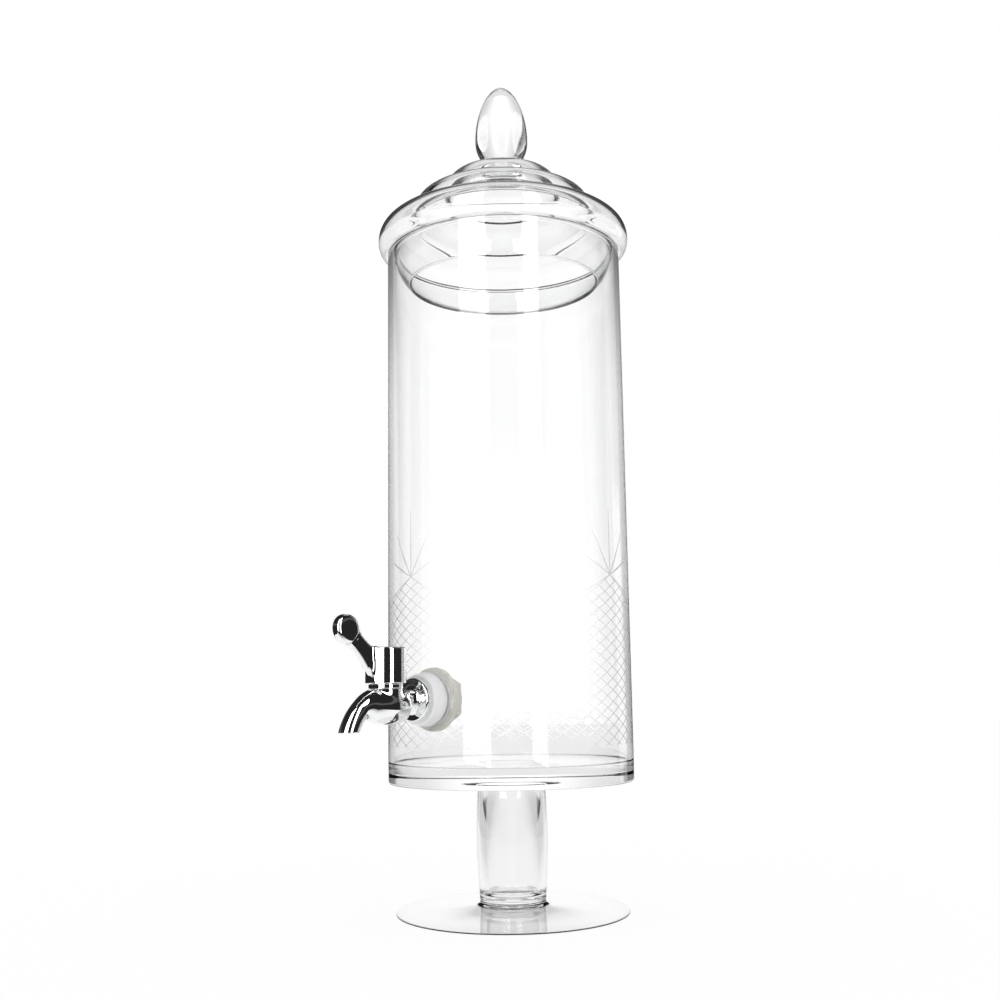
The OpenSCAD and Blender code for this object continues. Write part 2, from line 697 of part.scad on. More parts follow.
jar();
stem();
foot();
lid_shell();
lid_finial();
tap_body();
tap_flange();
tap_shank();
outer_washer();
inner_washer();
lock_nut();
bonnet();
thrust_washer();
port_seal();
tap_handle();
lever_knob();
valve_plug();
plug_o_ring_lower();
plug_o_ring_upper();
handle_screw();
screw_cover();
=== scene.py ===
"""Looks of a tall glass drink dispenser: jar on a pedestal, stepped lid and chrome lever tap.

Sizes are millimetres until a mesh is written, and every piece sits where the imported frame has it.
"""

import json
import logging
import math
from collections.abc import Callable, Sequence
from dataclasses import dataclass, field
from enum import Enum
from typing import NamedTuple

import bpy
import numpy as np
from mathutils import Matrix, Vector
from mathutils.geometry import delaunay_2d_cdt

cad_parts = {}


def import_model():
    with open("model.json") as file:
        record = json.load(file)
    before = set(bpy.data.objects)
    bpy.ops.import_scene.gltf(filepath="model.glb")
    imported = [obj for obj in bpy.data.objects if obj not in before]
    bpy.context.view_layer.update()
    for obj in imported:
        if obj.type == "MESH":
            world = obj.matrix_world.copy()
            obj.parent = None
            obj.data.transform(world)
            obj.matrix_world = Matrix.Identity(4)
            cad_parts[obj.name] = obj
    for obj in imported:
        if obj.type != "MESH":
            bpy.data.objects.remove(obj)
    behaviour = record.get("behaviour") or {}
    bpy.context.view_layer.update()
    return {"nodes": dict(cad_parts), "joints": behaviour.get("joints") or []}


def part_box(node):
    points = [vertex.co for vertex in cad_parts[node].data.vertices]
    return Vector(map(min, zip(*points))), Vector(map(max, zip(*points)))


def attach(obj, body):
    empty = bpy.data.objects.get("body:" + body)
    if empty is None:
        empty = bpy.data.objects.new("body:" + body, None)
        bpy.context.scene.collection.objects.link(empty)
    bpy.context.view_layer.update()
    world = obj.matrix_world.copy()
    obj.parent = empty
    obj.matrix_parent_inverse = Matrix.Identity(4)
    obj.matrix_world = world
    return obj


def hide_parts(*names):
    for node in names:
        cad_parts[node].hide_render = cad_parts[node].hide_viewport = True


log = logging.getLogger("dispenser")

Tree = bpy.types.NodeTree
Socket = bpy.types.NodeSocket
Piece = bpy.types.Object
Material = bpy.types.Material
Pair = tuple[float, float]
Colour = tuple[float, float, float, float]

MM = 0.001
WELD = 0.002
TINY = 1e-6
NOUGHT = 1e-12
PULLS = 6
LEAST_SLOPE = 0.2
GROUND = "ground_cut"


class Body(Enum):
    """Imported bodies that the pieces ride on."""

    STAND = "stand"
    LID = "lid"
    HANDLE = "handle"


class Slot(Enum):
    """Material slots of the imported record."""

    GLASS = "clear_glass"
    CHROME = "chrome"
    SILICONE = "frosted_silicone"
    IVORY = "ivory_plastic"
    WHITE = "white_plastic"
    RUBBER = "black_rubber"
    STEEL = "screw_steel"


class Patch(NamedTuple):
    """Part of a surface: points, faces, normals per face corner and how ground each point is."""

    points: np.ndarray
    faces: np.ndarray
    normals: np.ndarray | None
    ground: np.ndarray | None = None


@dataclass(frozen=True)
class Axis:
    """Right-handed turning axis in the part's frame."""

    origin: np.ndarray
    along: np.ndarray
    first: np.ndarray

    @property
    def second(self) -> np.ndarray:
        """Direction a quarter turn on from the first."""
        return np.cross(self.along, self.first)

    def turned(self, radial: np.ndarray, axial: np.ndarray, angle: np.ndarray) -> np.ndarray:
        """Work out vectors from their parts across and along the axis.

        Args:
            radial: part that points away from the axis.
            axial: part along the axis.
            angle: angle about the axis, in radians.

        Returns:
            Vectors in the part's frame, with one more dimension than the arguments.
        """
        radial, axial, angle = np.broadcast_arrays(radial, axial, angle)
        around = np.cos(angle)[..., None] * self.first + np.sin(angle)[..., None] * self.second
        return axial[..., None] * self.along + radial[..., None] * around

    def placed(self, radius: np.ndarray, height: np.ndarray, angle: np.ndarray) -> np.ndarray:
        """Place points at a radius, a height along the axis and an angle."""
        return self.origin + self.turned(radius, height, angle)


def upright(y: float = 0.0, z: float = 0.0) -> Axis:
    """Vertical axis through x 0, with angle 0 towards the tap."""
    return Axis(np.array([0.0, y, z]), np.array([0.0, 0.0, 1.0]), np.array([0.0, -1.0, 0.0]))


# Outlines

def arc(r: float, z: float, size: float, start: float, end: float, steps: int = 16) -> np.ndarray:
    """Points of a round arc about r, z between two angles in degrees."""
    return oval(r, z, size, size, start, end, steps)


def oval(
    r: float, z: float, wide: float, tall: float, start: float, end: float, steps: int = 32
) -> np.ndarray:
    """Points of an elliptical arc about r, z between two angles in degrees."""
    angle = np.radians(np.linspace(start, end, steps + 1))
    return np.stack([r + wide * np.cos(angle), z + tall * np.sin(angle)], axis=1)


def shoulder(
    r0: float, z0: float, r1: float, z1: float, power: float, steps: int = 48
) -> np.ndarray:
    """Points of a rounded shoulder from an upright edge at r0, z0 in to a level edge at r1, z1.

    Args:
        r0: radius of the upright end.
        z0: height of the upright end.
        r1: radius of the level end.
        z1: height of the level end.
        power: how square the shoulder is, where 1 is an ellipse and less is squarer.
        steps: number of stretches.

    Returns:
        Points as rows of radius and height.
    """
    angle = np.linspace(0.0, math.pi / 2, steps + 1)
    across = np.clip(np.cos(angle), 0.0, 1.0) ** power
    up = np.clip(np.sin(angle), 0.0, 1.0) ** power
    return np.stack([r1 + (r0 - r1) * across, z0 + (z1 - z0) * up], axis=1)


def chain(*stretches: Sequence) -> np.ndarray:
    """Join stretches of an outline, without repeated points.

    Args:
        stretches: runs of points as rows of radius and height.

    Returns:
        The outline.
    """
    points = np.concatenate([np.asarray(stretch, float).reshape(-1, 2) for stretch in stretches])
    apart = np.linalg.norm(np.diff(points, axis=0), axis=1) > WELD
    return points[np.concatenate([[True], apart])]


def eased(outline: np.ndarray, corner: Pair, reach: float, steps: int = 12) -> np.ndarray:
    """Round off one corner of an outline.

    Args:
        outline: points as rows of radius and height.
        corner: where the corner is.
        reach: length that the rounding takes from either side.
        steps: number of stretches in the rounding.

    Returns:
        The outline with a smooth curve in the corner's place.
    """
    at = int(np.argmin(np.linalg.norm(outline - corner, axis=1)))
    walked = np.concatenate([[0.0], np.cumsum(np.linalg.norm(np.diff(outline, axis=0), axis=1))])
    ends = []
    for where in (walked[at] - reach, walked[at] + reach):
        ends.append([np.interp(where, walked, outline[:, k]) for k in (0, 1)])
    share = np.linspace(0.0, 1.0, steps + 1)[:, None]
    curve = (1 - share) ** 2 * ends[0] + 2 * share * (1 - share) * outline[at] + share**2 * ends[1]
    before = outline[walked < walked[at] - reach]
    after = outline[walked > walked[at] + reach]
    return chain(before, curve, after)


def outline_normals(outline: np.ndarray, crease: float = 32.0) -> tuple[np.ndarray, np.ndarray]:
    """Work out the normals at both ends of each stretch of an outline.

    Args:
        outline: points as rows of radius and height, with the material on the left.
        crease: turn in degrees from which a corner stays sharp.

    Returns:
        Normals at the stretches' first and last ends.
    """
    step = np.diff(outline, axis=0)
    length = np.linalg.norm(step, axis=1, keepdims=True)
    flat = np.stack([step[:, 1], -step[:, 0]], axis=1) / length
    first, last = flat.copy(), flat.copy()
    limit = math.cos(math.radians(crease))
    closed = np.allclose(outline[0], outline[-1])
    for i in range(0 if closed else 1, len(flat)):
        if flat[i - 1] @ flat[i] > limit:
            mean = flat[i - 1] * length[i - 1] + flat[i] * length[i]
            first[i] = last[i - 1] = mean / np.linalg.norm(mean)
    for ends, i in ((first, 0), (last, -1)):
        on_axis = abs(outline[i, 0]) < WELD
        if on_axis and abs(ends[i, 1]) > limit:
            ends[i] = (0.0, math.copysign(1.0, ends[i, 1]))
    return first, last


Bend = Callable[[np.ndarray, np.ndarray, np.ndarray], tuple[np.ndarray, np.ndarray]]


def spin(
    outline: np.ndarray, axis: Axis, segments: int = 256, start: float = 0.0, bend: Bend | None = None
) -> Patch:
    """Turn an outline about an axis.

    Args:
        outline: points as rows of radius and height, with the material on the left.
        axis: where the outline turns.
        segments: number of facets round.
        start: angle of the first point, in degrees.
        bend: changes radius and height by angle, for pieces that aren't quite round.

    Returns:
        A patch of quads, with normals unless the outline was bent.
    """
    angle = math.radians(start) + np.arange(segments) * (2 * math.pi / segments)
    radius, height, around = np.broadcast_arrays(outline[:, :1], outline[:, 1:], angle[None])
    if bend:
        radius, height = bend(radius, height, around)
    points = axis.placed(radius, height, around).reshape(-1, 3)
    row = np.arange(len(outline) - 1)[:, None] * segments
    column = np.arange(segments)[None]
    beside = (column + 1) % segments
    corners = [row + column, row + beside, row + segments + beside, row + segments + column]
    faces = np.stack(np.broadcast_arrays(*corners), axis=-1).reshape(-1, 4)
    if bend:
        return Patch(points, faces, None)
    first, last = outline_normals(outline)
    turn = angle[None]
    onward = angle[beside[0]][None]
    normals = [
        axis.turned(end[:, :1], end[:, 1:], way)
        for end, way in ((first, turn), (first, onward), (last, onward), (last, turn))
    ]
    return Patch(points, faces, np.stack(normals, axis=2).reshape(-1, 4, 3))


# Meshes

def welded(points: np.ndarray) -> np.ndarray:
    """Find for each point the first point that lies in the same place.

    Args:
        points: rows of x, y, z.

    Returns:
        Index of the point that stands for each row.
    """
    index = np.arange(len(points))
    for shift in np.ndindex(2, 2, 2):
        cell = np.floor(points[index] / WELD + np.array(shift) / 2).astype(np.int64)
        _, first, group = np.unique(cell, axis=0, return_index=True, return_inverse=True)
        index = index[first[group.reshape(-1)]]
    return index


@dataclass
class Surface:
    """Mesh under construction, in millimetres."""

    patches: list[Patch] = field(default_factory=list)

    def add(self, patch: Patch) -> "Surface":
        """Take in a patch."""
        self.patches.append(patch)
        return self

    def piece(self, name: str, crease: float | None = None) -> Piece:
        """Write the mesh and link its object.

        Args:
            name: the piece's name.
            crease: angle in degrees from which edges are sharp, for patches without normals.

        Returns:
            The new object.
        """
        points = np.concatenate([patch.points for patch in self.patches])
        stands_for = welded(points)
        polygons: list[list[int]] = []
        normals: list[list[float]] = []
        base = 0
        for patch in self.patches:
            corners = stands_for[patch.faces + base].tolist()
            ways = None if patch.normals is None else patch.normals.tolist()
            for i, face in enumerate(corners):
                kept = [k for k in range(len(face)) if face[k] != face[k - 1]]
                if len({face[k] for k in kept}) == len(kept) >= 3:
                    polygons.append([face[k] for k in kept])
                    if ways:
                        normals.extend(ways[i][k] for k in kept)
            base += len(patch.points)
        used, flat = np.unique(np.concatenate([np.array(p) for p in polygons]), return_inverse=True)
        renumbered = iter(flat.tolist())
        polygons = [[next(renumbered) for _ in polygon] for polygon in polygons]
        mesh = bpy.data.meshes.new(name)
        mesh.from_pydata((points[used] * MM).tolist(), [], polygons)
        mesh.polygons.foreach_set("use_smooth", [True] * len(polygons))
        if any(patch.ground is not None for patch in self.patches):
            ground = np.concatenate([
                np.zeros(len(patch.points)) if patch.ground is None else patch.ground
                for patch in self.patches
            ])
            mesh.attributes.new(GROUND, "FLOAT", "POINT").data.foreach_set("value", ground[used])
        if crease is None:
            mesh.normals_split_custom_set(normals)
        else:
            mesh.set_sharp_from_angle(angle=math.radians(crease))
        piece = bpy.data.objects.new(name, mesh)
        bpy.context.scene.collection.objects.link(piece)
        log.info("%s: %d points, %d faces", name, len(mesh.vertices), len(mesh.polygons))
        return piece


def dress(piece: Piece, finish: Material, body: Body, nodes: Sequence[str]) -> None:
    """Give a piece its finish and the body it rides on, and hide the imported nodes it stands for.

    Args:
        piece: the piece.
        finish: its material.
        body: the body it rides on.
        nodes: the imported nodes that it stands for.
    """
    piece.data.materials.clear()
    piece.data.materials.append(finish)
    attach(piece, body.value)
    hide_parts(*nodes)
    log.info("%s rides on %s and stands for %s", piece.name, body.value, ", ".join(nodes))


# Cast shapes as distance fields

Field = Callable[[np.ndarray], np.ndarray]


def joined(a: np.ndarray, b: np.ndarray, blend: float) -> np.ndarray:
    """Distance to two shapes cast together, with a fillet of about the blend."""
    share = np.clip(0.5 + 0.5 * (b - a) / blend, 0.0, 1.0)
    return b + (a - b) * share - blend * share * (1.0 - share)


def without(a: np.ndarray, b: np.ndarray, blend: float) -> np.ndarray:
    """Distance to one shape with another cut out of it, its edge eased by the blend."""
    return -joined(-a, b, blend)


def rod(
    across: np.ndarray, along: np.ndarray, radius: float, low: float, high: float, edge: float
) -> np.ndarray:
    """Distance to a round rod.

    Args:
        across: distances from the rod's axis.
        along: places along the axis.
        radius: the rod's radius.
        low: where the rod starts.
        high: where the rod ends.
        edge: rounding of its edges.

    Returns:
        Signed distances, less than 0 inside.
    """
    side = across - radius + edge
    end = np.abs(along - (low + high) / 2) - (high - low) / 2 + edge
    beyond = np.hypot(np.maximum(side, 0.0), np.maximum(end, 0.0))
    return np.minimum(np.maximum(side, end), 0.0) + beyond - edge


def slope(shape: Field, points: np.ndarray, eps: float = 0.02) -> np.ndarray:
    """Gradient of a distance field at some points.

    Args:
        shape: the field.
        points: where.
        eps: half of the step.

    Returns:
        One vector a point.
    """
    return np.stack([
        (shape(points + eps * way) - shape(points - eps * way)) / (2 * eps) for way in np.eye(3)
    ], axis=-1)


def cast(
    shape: Field, low: Sequence[float], high: Sequence[float], cell: float, origin: np.ndarray
) -> Patch:
    """Mesh a distance field with one point in each cell that its surface crosses.

    Args:
        shape: the distance field, about the origin.
        low: lowest corner of the space that holds it.
        high: highest corner of that space.
        cell: size of a cell.
        origin: where the field's own origin lies in the part's frame.

    Returns:
        A patch of quads whose points lie on the surface, with true normals.
    """
    axes = [np.arange(a, b + cell, cell) for a, b in zip(low, high)]
    grid = np.stack(np.meshgrid(*axes, indexing="ij"), axis=-1)
    value = shape(grid)
    inside = value < 0
    cells = [len(axis) - 1 for axis in axes]
    total = np.zeros((*cells, 3))
    hits = np.zeros(cells)
    edges = []
    for k in range(3):
        a, b = (k + 1) % 3, (k + 2) % 3
        lower = [slice(None)] * 3
        upper = [slice(None)] * 3
        lower[k], upper[k] = slice(0, -1), slice(1, None)
        lower, upper = tuple(lower), tuple(upper)
        crossed = inside[lower] != inside[upper]
        with np.errstate(divide="ignore", invalid="ignore"):
            share = np.where(crossed, value[lower] / (value[lower] - value[upper]), 0.0)
        meets = grid[lower] + share[..., None] * cell * np.eye(3)[k]
        for i, j in np.ndindex(2, 2):
            part = [slice(None)] * 3
            part[a], part[b] = slice(i, i + cells[a]), slice(j, j + cells[b])
            hit = crossed[tuple(part)]
            total[hit] += meets[tuple(part)][hit]
            hits[hit] += 1
        edges.append((k, a, b, crossed, inside[lower]))
    number = np.full(cells, -1)
    number[hits > 0] = np.arange(np.count_nonzero(hits))
    points = total[hits > 0] / hits[hits > 0][:, None]
    faces = []
    for k, a, b, crossed, starts_in in edges:
        inner = [slice(None)] * 3
        inner[a] = inner[b] = slice(1, -1)
        place = np.argwhere(crossed[tuple(inner)])
        place[:, [a, b]] += 1
        ring = []
        for i, j in ((-1, -1), (0, -1), (0, 0), (-1, 0)):
            beside = place.copy()
            beside[:, a] += i
            beside[:, b] += j
            ring.append(number[tuple(beside.T)])
        quads = np.stack(ring, axis=1)
        turned = ~starts_in[tuple(place.T)]
        quads[turned] = quads[turned][:, ::-1]
        faces.append(quads)
    for _ in range(PULLS):
        way = slope(shape, points)
        pull = shape(points) / np.maximum((way**2).sum(axis=1), LEAST_SLOPE)
        points = points - np.clip(pull, -cell, cell)[:, None] * way
    way = slope(shape, points)
    way /= np.linalg.norm(way, axis=1, keepdims=True)
    quads = np.concatenate(faces)
    return Patch(points + origin, quads, way[quads])


# Shader groups and finishes

def put(tree: Tree, kind: str, inputs: dict | None = None, **settings: object) -> bpy.types.Node:
    """Add a node.

    Args:
        tree: the node tree.
        kind: the node's type.
        inputs: values or other nodes' sockets by input name or number.
        settings: the node's own properties.

    Returns:
        The new node.
    """
    node = tree.nodes.new(kind)
    for name, value in settings.items():
        setattr(node, name, value)
    for key, value in (inputs or {}).items():
        if isinstance(value, Socket):
            tree.links.new(value, node.inputs[key])
        else:
            node.inputs[key].default_value = value
    return node


def calc(tree: Tree, operation: str, *values: object) -> Socket:
    """Add a maths node and give its result."""
    return put(tree, "ShaderNodeMath", dict(enumerate(values)), operation=operation).outputs[0]


def blended(tree: Tree, share: object, a: object, b: object) -> Socket:
    """Add a colour mix and give its result."""
    inputs = {0: share, 6: a, 7: b}
    return put(tree, "ShaderNodeMix", inputs, data_type="RGBA").outputs[2]


def eased_step(tree: Tree, value: object, start: object, end: object) -> Socket:
    """Add a smooth step from 0 at the start to 1 at the end and give its result."""
    inputs = {"Value": value, "From Min": start, "From Max": end}
    return put(tree, "ShaderNodeMapRange", inputs, interpolation_type="SMOOTHSTEP").outputs[0]


def product(tree: Tree, *factors: object) -> object:
    """Add maths nodes that multiply some values and give their product.

    Args:
        tree: the node tree.
        factors: values or sockets.

    Returns:
        The last node's result.
    """
    total = factors[0]
    for factor in factors[1:]:
        total = calc(tree, "MULTIPLY", total, factor)
    return total


def grey(tree: Tree, level: object) -> Socket:
    """Add a colour of one level in all its parts and give it."""
    return put(tree, "ShaderNodeCombineColor", {0: level, 1: level, 2: level}).outputs[0]


@dataclass
class Effects:
    """Shader groups that the finishes share."""

    smear_detail: float = 5.0
    smear_twist: float = 0.6
    smear_span: Pair = (0.52, 0.78)
    cloud_detail: float = 4.0
    grain_finer: float = 22.0
    grain_share: float = 0.35
    mottle_span: Pair = (0.45, 0.95)

    def __post_init__(self) -> None:
        """Build the groups."""
        self.ripple = self._ripple()
        self.smears = self._smears()
        self.mottle = self._mottle()

    @staticmethod
    def _group(name: str, inputs: dict[str, str], output: str, kind: str) -> tuple:
        """Start a group.

        Args:
            name: the group's name.
            inputs: socket types by input name.
            output: name of the one output.
            kind: the output's socket type.

        Returns:
            The group, its input node, its output node and the surface's own coordinates.
        """
        group = bpy.data.node_groups.new(name, "ShaderNodeTree")
        for label, socket in inputs.items():
            group.interface.new_socket(label, in_out="INPUT", socket_type=socket)
        group.interface.new_socket(output, in_out="OUTPUT", socket_type=kind)
        place = put(group, "ShaderNodeTexCoord").outputs["Object"]
        return group, put(group, "NodeGroupInput"), put(group, "NodeGroupOutput"), place

    def _ripple(self) -> Tree:
        """Slow waviness of a surface that cooled from the melt or was buffed by hand.

        Returns:
            The group.
        """
        names = {"Scale": "NodeSocketFloat", "Stretch": "NodeSocketFloat"}
        group, source, out, place = self._group("melt_ripple", names, "Height", "NodeSocketFloat")
        parts = put(group, "ShaderNodeSeparateXYZ", {0: place})
        tall = calc(group, "MULTIPLY", parts.outputs["Z"], source.outputs["Stretch"])
        spot = put(group, "ShaderNodeCombineXYZ", {0: parts.outputs["X"], 1: parts.outputs["Y"], 2: tall})
        noise = put(group, "ShaderNodeTexNoise", {
            "Vector": spot.outputs[0], "Scale": source.outputs["Scale"], "Detail": 1.0,
        })
        group.links.new(noise.outputs["Fac"], out.inputs["Height"])
        return group

    def _smears(self) -> Tree:
        """Roughness of a polished surface with faint handling smears.

        Returns:
            The group.
        """
        names = {"Scale": "NodeSocketFloat", "Clean": "NodeSocketFloat", "Smeared": "NodeSocketFloat"}
        group, source, out, place = self._group("handling_smears", names, "Roughness", "NodeSocketFloat")
        noise = put(group, "ShaderNodeTexNoise", {
            "Vector": place, "Scale": source.outputs["Scale"],
            "Detail": self.smear_detail, "Distortion": self.smear_twist,
        })
        mask = eased_step(group, noise.outputs["Fac"], *self.smear_span)
        span = calc(group, "SUBTRACT", source.outputs["Smeared"], source.outputs["Clean"])
        rough = calc(group, "MULTIPLY_ADD", mask, span, source.outputs["Clean"])
        group.links.new(rough, out.inputs["Roughness"])
        return group

    def _mottle(self) -> Tree:
        """Colour that drifts between two close tones, with a fine grain.

        Returns:
            The group.
        """
        names = {"Main": "NodeSocketColor", "Other": "NodeSocketColor", "Scale": "NodeSocketFloat"}
        group, source, out, place = self._group("moulded_mottle", names, "Color", "NodeSocketColor")
        cloud = put(group, "ShaderNodeTexNoise", {
            "Vector": place, "Scale": source.outputs["Scale"], "Detail": self.cloud_detail,
        })
        fine = calc(group, "MULTIPLY", source.outputs["Scale"], self.grain_finer)
        grain = put(group, "ShaderNodeTexNoise", {"Vector": place, "Scale": fine, "Detail": 2.0})
        both = calc(group, "MULTIPLY_ADD", grain.outputs["Fac"], self.grain_share, cloud.outputs["Fac"])
        mask = eased_step(group, both, *self.mottle_span)
        colour = blended(group, mask, source.outputs["Main"], source.outputs["Other"])
        group.links.new(colour, out.inputs["Color"])
        return group


def placed_group(tree: Tree, group: Tree, inputs: dict) -> Socket:
    """Put a shared group into a material and give its output."""
    return put(tree, "ShaderNodeGroup", inputs, node_tree=group).outputs[0]


def blank(name: str) -> tuple[Material, Tree, bpy.types.Node]:
    """Start a material with one Principled shader.

    Args:
        name: the material's name.

    Returns:
        The material, its node tree and its shader node.
    """
    material = bpy.data.materials.new(name)
    material.use_nodes = True
    tree = material.node_tree
    tree.nodes.clear()
    return material, tree, put(tree, "ShaderNodeBsdfPrincipled")


def wavy_normal(tree: Tree, height: Socket, strength: float, depth: float) -> Socket:
    """Add a bump of a depth in millimetres and give its normal."""
    inputs = {"Height": height, "Strength": strength, "Distance": depth * MM}
    return put(tree, "ShaderNodeBump", inputs).outputs[0]


@dataclass(frozen=True)
class ClearGlass:
    """Polished clear glass with faint melt ripple and handling smears, rougher where it is cut, with a
    painted shade greying the cuts where they are seen at a slant.
    """

    name: str = "clear_glass"
    tint: Colour = (0.994, 0.996, 0.996, 1.0)
    # Grey of the painted shade on the cuts.
    cut_shade_tint: Colour = (0.27, 0.275, 0.28, 1.0)
    cut_rough: float = 0.3
    ior: float = 1.5
    shadow_tint: Colour = (0.98, 0.98, 0.98, 1.0)
    smeared: float = 0.014
    smear_scale: float = 16.0
    # Spans of slant over which the painted shade on the cuts comes in and goes out.
    cut_shade_starts: Pair = (0.12, 0.6)
    cut_shade_ends: Pair = (0.82, 0.66)
    ripple_scale: float = 26.0
    ripple_stretch: float = 0.35
    ripple_mm: float = 0.05

    def material(self, effects: Effects) -> Material:
        """Build the material.

        Args:
            effects: the shared groups.

        Returns:
            The material.
        """
        material, tree, shader = blank(self.name)
        # The cuts' colour is a painted shade: greyed where a cut is seen at a slant, clear face-on and at
        # the silhouette. The same mask makes the cuts rougher.
        cut = put(tree, "ShaderNodeAttribute", attribute_name=GROUND).outputs["Fac"]
        facing = put(tree, "ShaderNodeLayerWeight", {"Blend": 0.5}).outputs["Facing"]
        starts, ends = (eased_step(tree, facing, *span) for span in (self.cut_shade_starts, self.cut_shade_ends))
        cut_shade_and_dullness = product(tree, cut, starts, ends)
        tree.links.new(blended(tree, cut_shade_and_dullness, self.tint, self.cut_shade_tint), shader.inputs["Base Color"])
        shader.inputs["IOR"].default_value = self.ior
        shader.inputs["Metallic"].default_value = 0.0
        shader.inputs["Transmission Weight"].default_value = 1.0
        rough = placed_group(
            tree, effects.smears, {"Scale": self.smear_scale, "Clean": 0.0, "Smeared": self.smeared}
        )
        rough = calc(tree, "MULTIPLY_ADD", cut_shade_and_dullness, self.cut_rough, rough)
        tree.links.new(rough, shader.inputs["Roughness"])
        height = placed_group(
            tree, effects.ripple, {"Scale": self.ripple_scale, "Stretch": self.ripple_stretch}
        )
        tree.links.new(wavy_normal(tree, height, 1.0, self.ripple_mm), shader.inputs["Normal"])
        shadow = put(tree, "ShaderNodeLightPath").outputs["Is Shadow Ray"]
        clear = put(tree, "ShaderNodeBsdfTransparent", {"Color": self.shadow_tint})
        mixed = put(tree, "ShaderNodeMixShader", {0: shadow, 1: shader.outputs[0], 2: clear.outputs[0]})
        put(tree, "ShaderNodeOutputMaterial", {"Surface": mixed.outputs[0]})
        return material


@dataclass(frozen=True)
class Opaque:
    """Plated or turned metal, plastic, rubber or silicone, with a drifting tone and a fine relief."""

    name: str
    main: Colour
    other: Colour
    clean: float
    smeared: float
    mottle_scale: float = 110.0
    smear_scale: float = 180.0
    grain_mm: float = 0.04
    grain_scale: float = 1400.0
    grain_strength: float = 0.35
    glow: float = 0.0
    glow_mm: float = 2.5
    glow_reach: tuple[float, float, float] = (1.0, 1.0, 0.95)
    metallic: float = 0.0

    def material(self, effects: Effects) -> Material:
        """Build the material.

        Args:
            effects: the shared groups.

        Returns:
            The material.
        """
        material, tree, shader = blank(self.name)
        colour = placed_group(
            tree, effects.mottle, {"Main": self.main, "Other": self.other, "Scale": self.mottle_scale}
        )
        tree.links.new(colour, shader.inputs["Base Color"])
        shader.inputs["Metallic"].default_value = self.metallic
        rough = placed_group(
            tree, effects.smears, {"Scale": self.smear_scale, "Clean": self.clean, "Smeared": self.smeared}
        )
        tree.links.new(rough, shader.inputs["Roughness"])
        height = placed_group(tree, effects.ripple, {"Scale": self.grain_scale, "Stretch": 1.0})
        normal = wavy_normal(tree, height, self.grain_strength, self.grain_mm)
        tree.links.new(normal, shader.inputs["Normal"])
        put(tree, "ShaderNodeOutputMaterial", {"Surface": shader.outputs[0]})
        if self.glow:
            shader.inputs["Subsurface Weight"].default_value = self.glow
            shader.inputs["Subsurface Radius"].default_value = self.glow_reach
            shader.inputs["Subsurface Scale"].default_value = self.glow_mm * MM
        return material


FINISHES = {
    Slot.GLASS: ClearGlass(),
    Slot.CHROME: Opaque(
        "chrome", (0.93, 0.935, 0.94, 1.0), (0.90, 0.905, 0.912, 1.0), 0.02, 0.07, metallic=1.0,
        mottle_scale=90.0, smear_scale=120.0, grain_scale=150.0, grain_strength=0.6, grain_mm=0.03,
    ),
    Slot.SILICONE: Opaque(
        "frosted_silicone", (0.88, 0.885, 0.89, 1.0), (0.83, 0.835, 0.83, 1.0), 0.42, 0.55, glow=0.38
    ),
    Slot.IVORY: Opaque(
        "ivory_plastic", (0.93, 0.915, 0.85, 1.0), (0.90, 0.88, 0.80, 1.0), 0.35, 0.5, glow=0.62
    ),
    Slot.WHITE: Opaque("white_plastic", (0.86, 0.86, 0.84, 1.0), (0.80, 0.80, 0.78, 1.0), 0.4, 0.5),
    Slot.RUBBER: Opaque("black_rubber", (0.035, 0.035, 0.037, 1.0), (0.05, 0.05, 0.05, 1.0), 0.45, 0.6),
    Slot.STEEL: Opaque(
        "screw_steel", (0.62, 0.62, 0.63, 1.0), (0.55, 0.55, 0.56, 1.0), 0.22, 0.34, metallic=1.0
    ),
}


# Cut pattern

@dataclass(frozen=True)
class Groove:
    """Straight V-shaped cut on the unrolled wall: rows of place along, height, half width and depth."""

    stations: np.ndarray

    def depth(self, points: np.ndarray) -> np.ndarray:
        """Depth of the cut at some points of the unrolled wall.

        Args:
            points: places on the unrolled wall.

        Returns:
            One depth a point.
        """
        deepest = np.zeros(len(points))
        for a, b in zip(self.stations, self.stations[1:]):
            run = b[:2] - a[:2]
            share = (points - a[:2]) @ run / (run @ run)
            on_it = (share > -TINY) & (share < 1 + TINY)
            share = np.clip(share, 0.0, 1.0)
            off = np.linalg.norm(points - a[:2] - share[:, None] * run, axis=1)
            half = a[2] + (b[2] - a[2]) * share
            deep = a[3] + (b[3] - a[3]) * share
            cut = deep * np.clip(1.0 - off / np.maximum(half, TINY), 0.0, None)
            deepest = np.maximum(deepest, np.where(on_it, cut, 0.0))
        return deepest

    def beside(self, points: np.ndarray) -> np.ndarray:
        """Distance of some points from the groove's edge, less than 0 inside.

        Args:
            points: places on the unrolled wall.

        Returns:
            One distance a point.
        """
        nearest = np.full(len(points), np.inf)
        for a, b in zip(self.stations, self.stations[1:]):
            run = b[:2] - a[:2]
            share = np.clip((points - a[:2]) @ run / (run @ run), 0.0, 1.0)
            off = np.linalg.norm(points - a[:2] - share[:, None] * run, axis=1)
            nearest = np.minimum(nearest, off - (a[2] + (b[2] - a[2]) * share))
        return nearest

    def lines(self, step: float) -> list[np.ndarray]:
        """Points along the left edge, the bottom and the right edge of the cut.

        Args:
            step: longest stretch between points.

        Returns:
            The three lines.
        """
        rows = [self.stations[:1]]
        for a, b in zip(self.stations, self.stations[1:]):
            count = max(1, math.ceil(np.linalg.norm(b[:2] - a[:2]) / step))
            share = np.arange(1, count + 1)[:, None] / count
            rows.append(a + (b - a) * share)
        stations = np.concatenate(rows)
        run = self.stations[-1, :2] - self.stations[0, :2]
        side = np.array([-run[1], run[0]]) / np.linalg.norm(run)
        return [stations[:, :2] + way * stations[:, 2:3] * side for way in (1.0, 0.0, -1.0)]


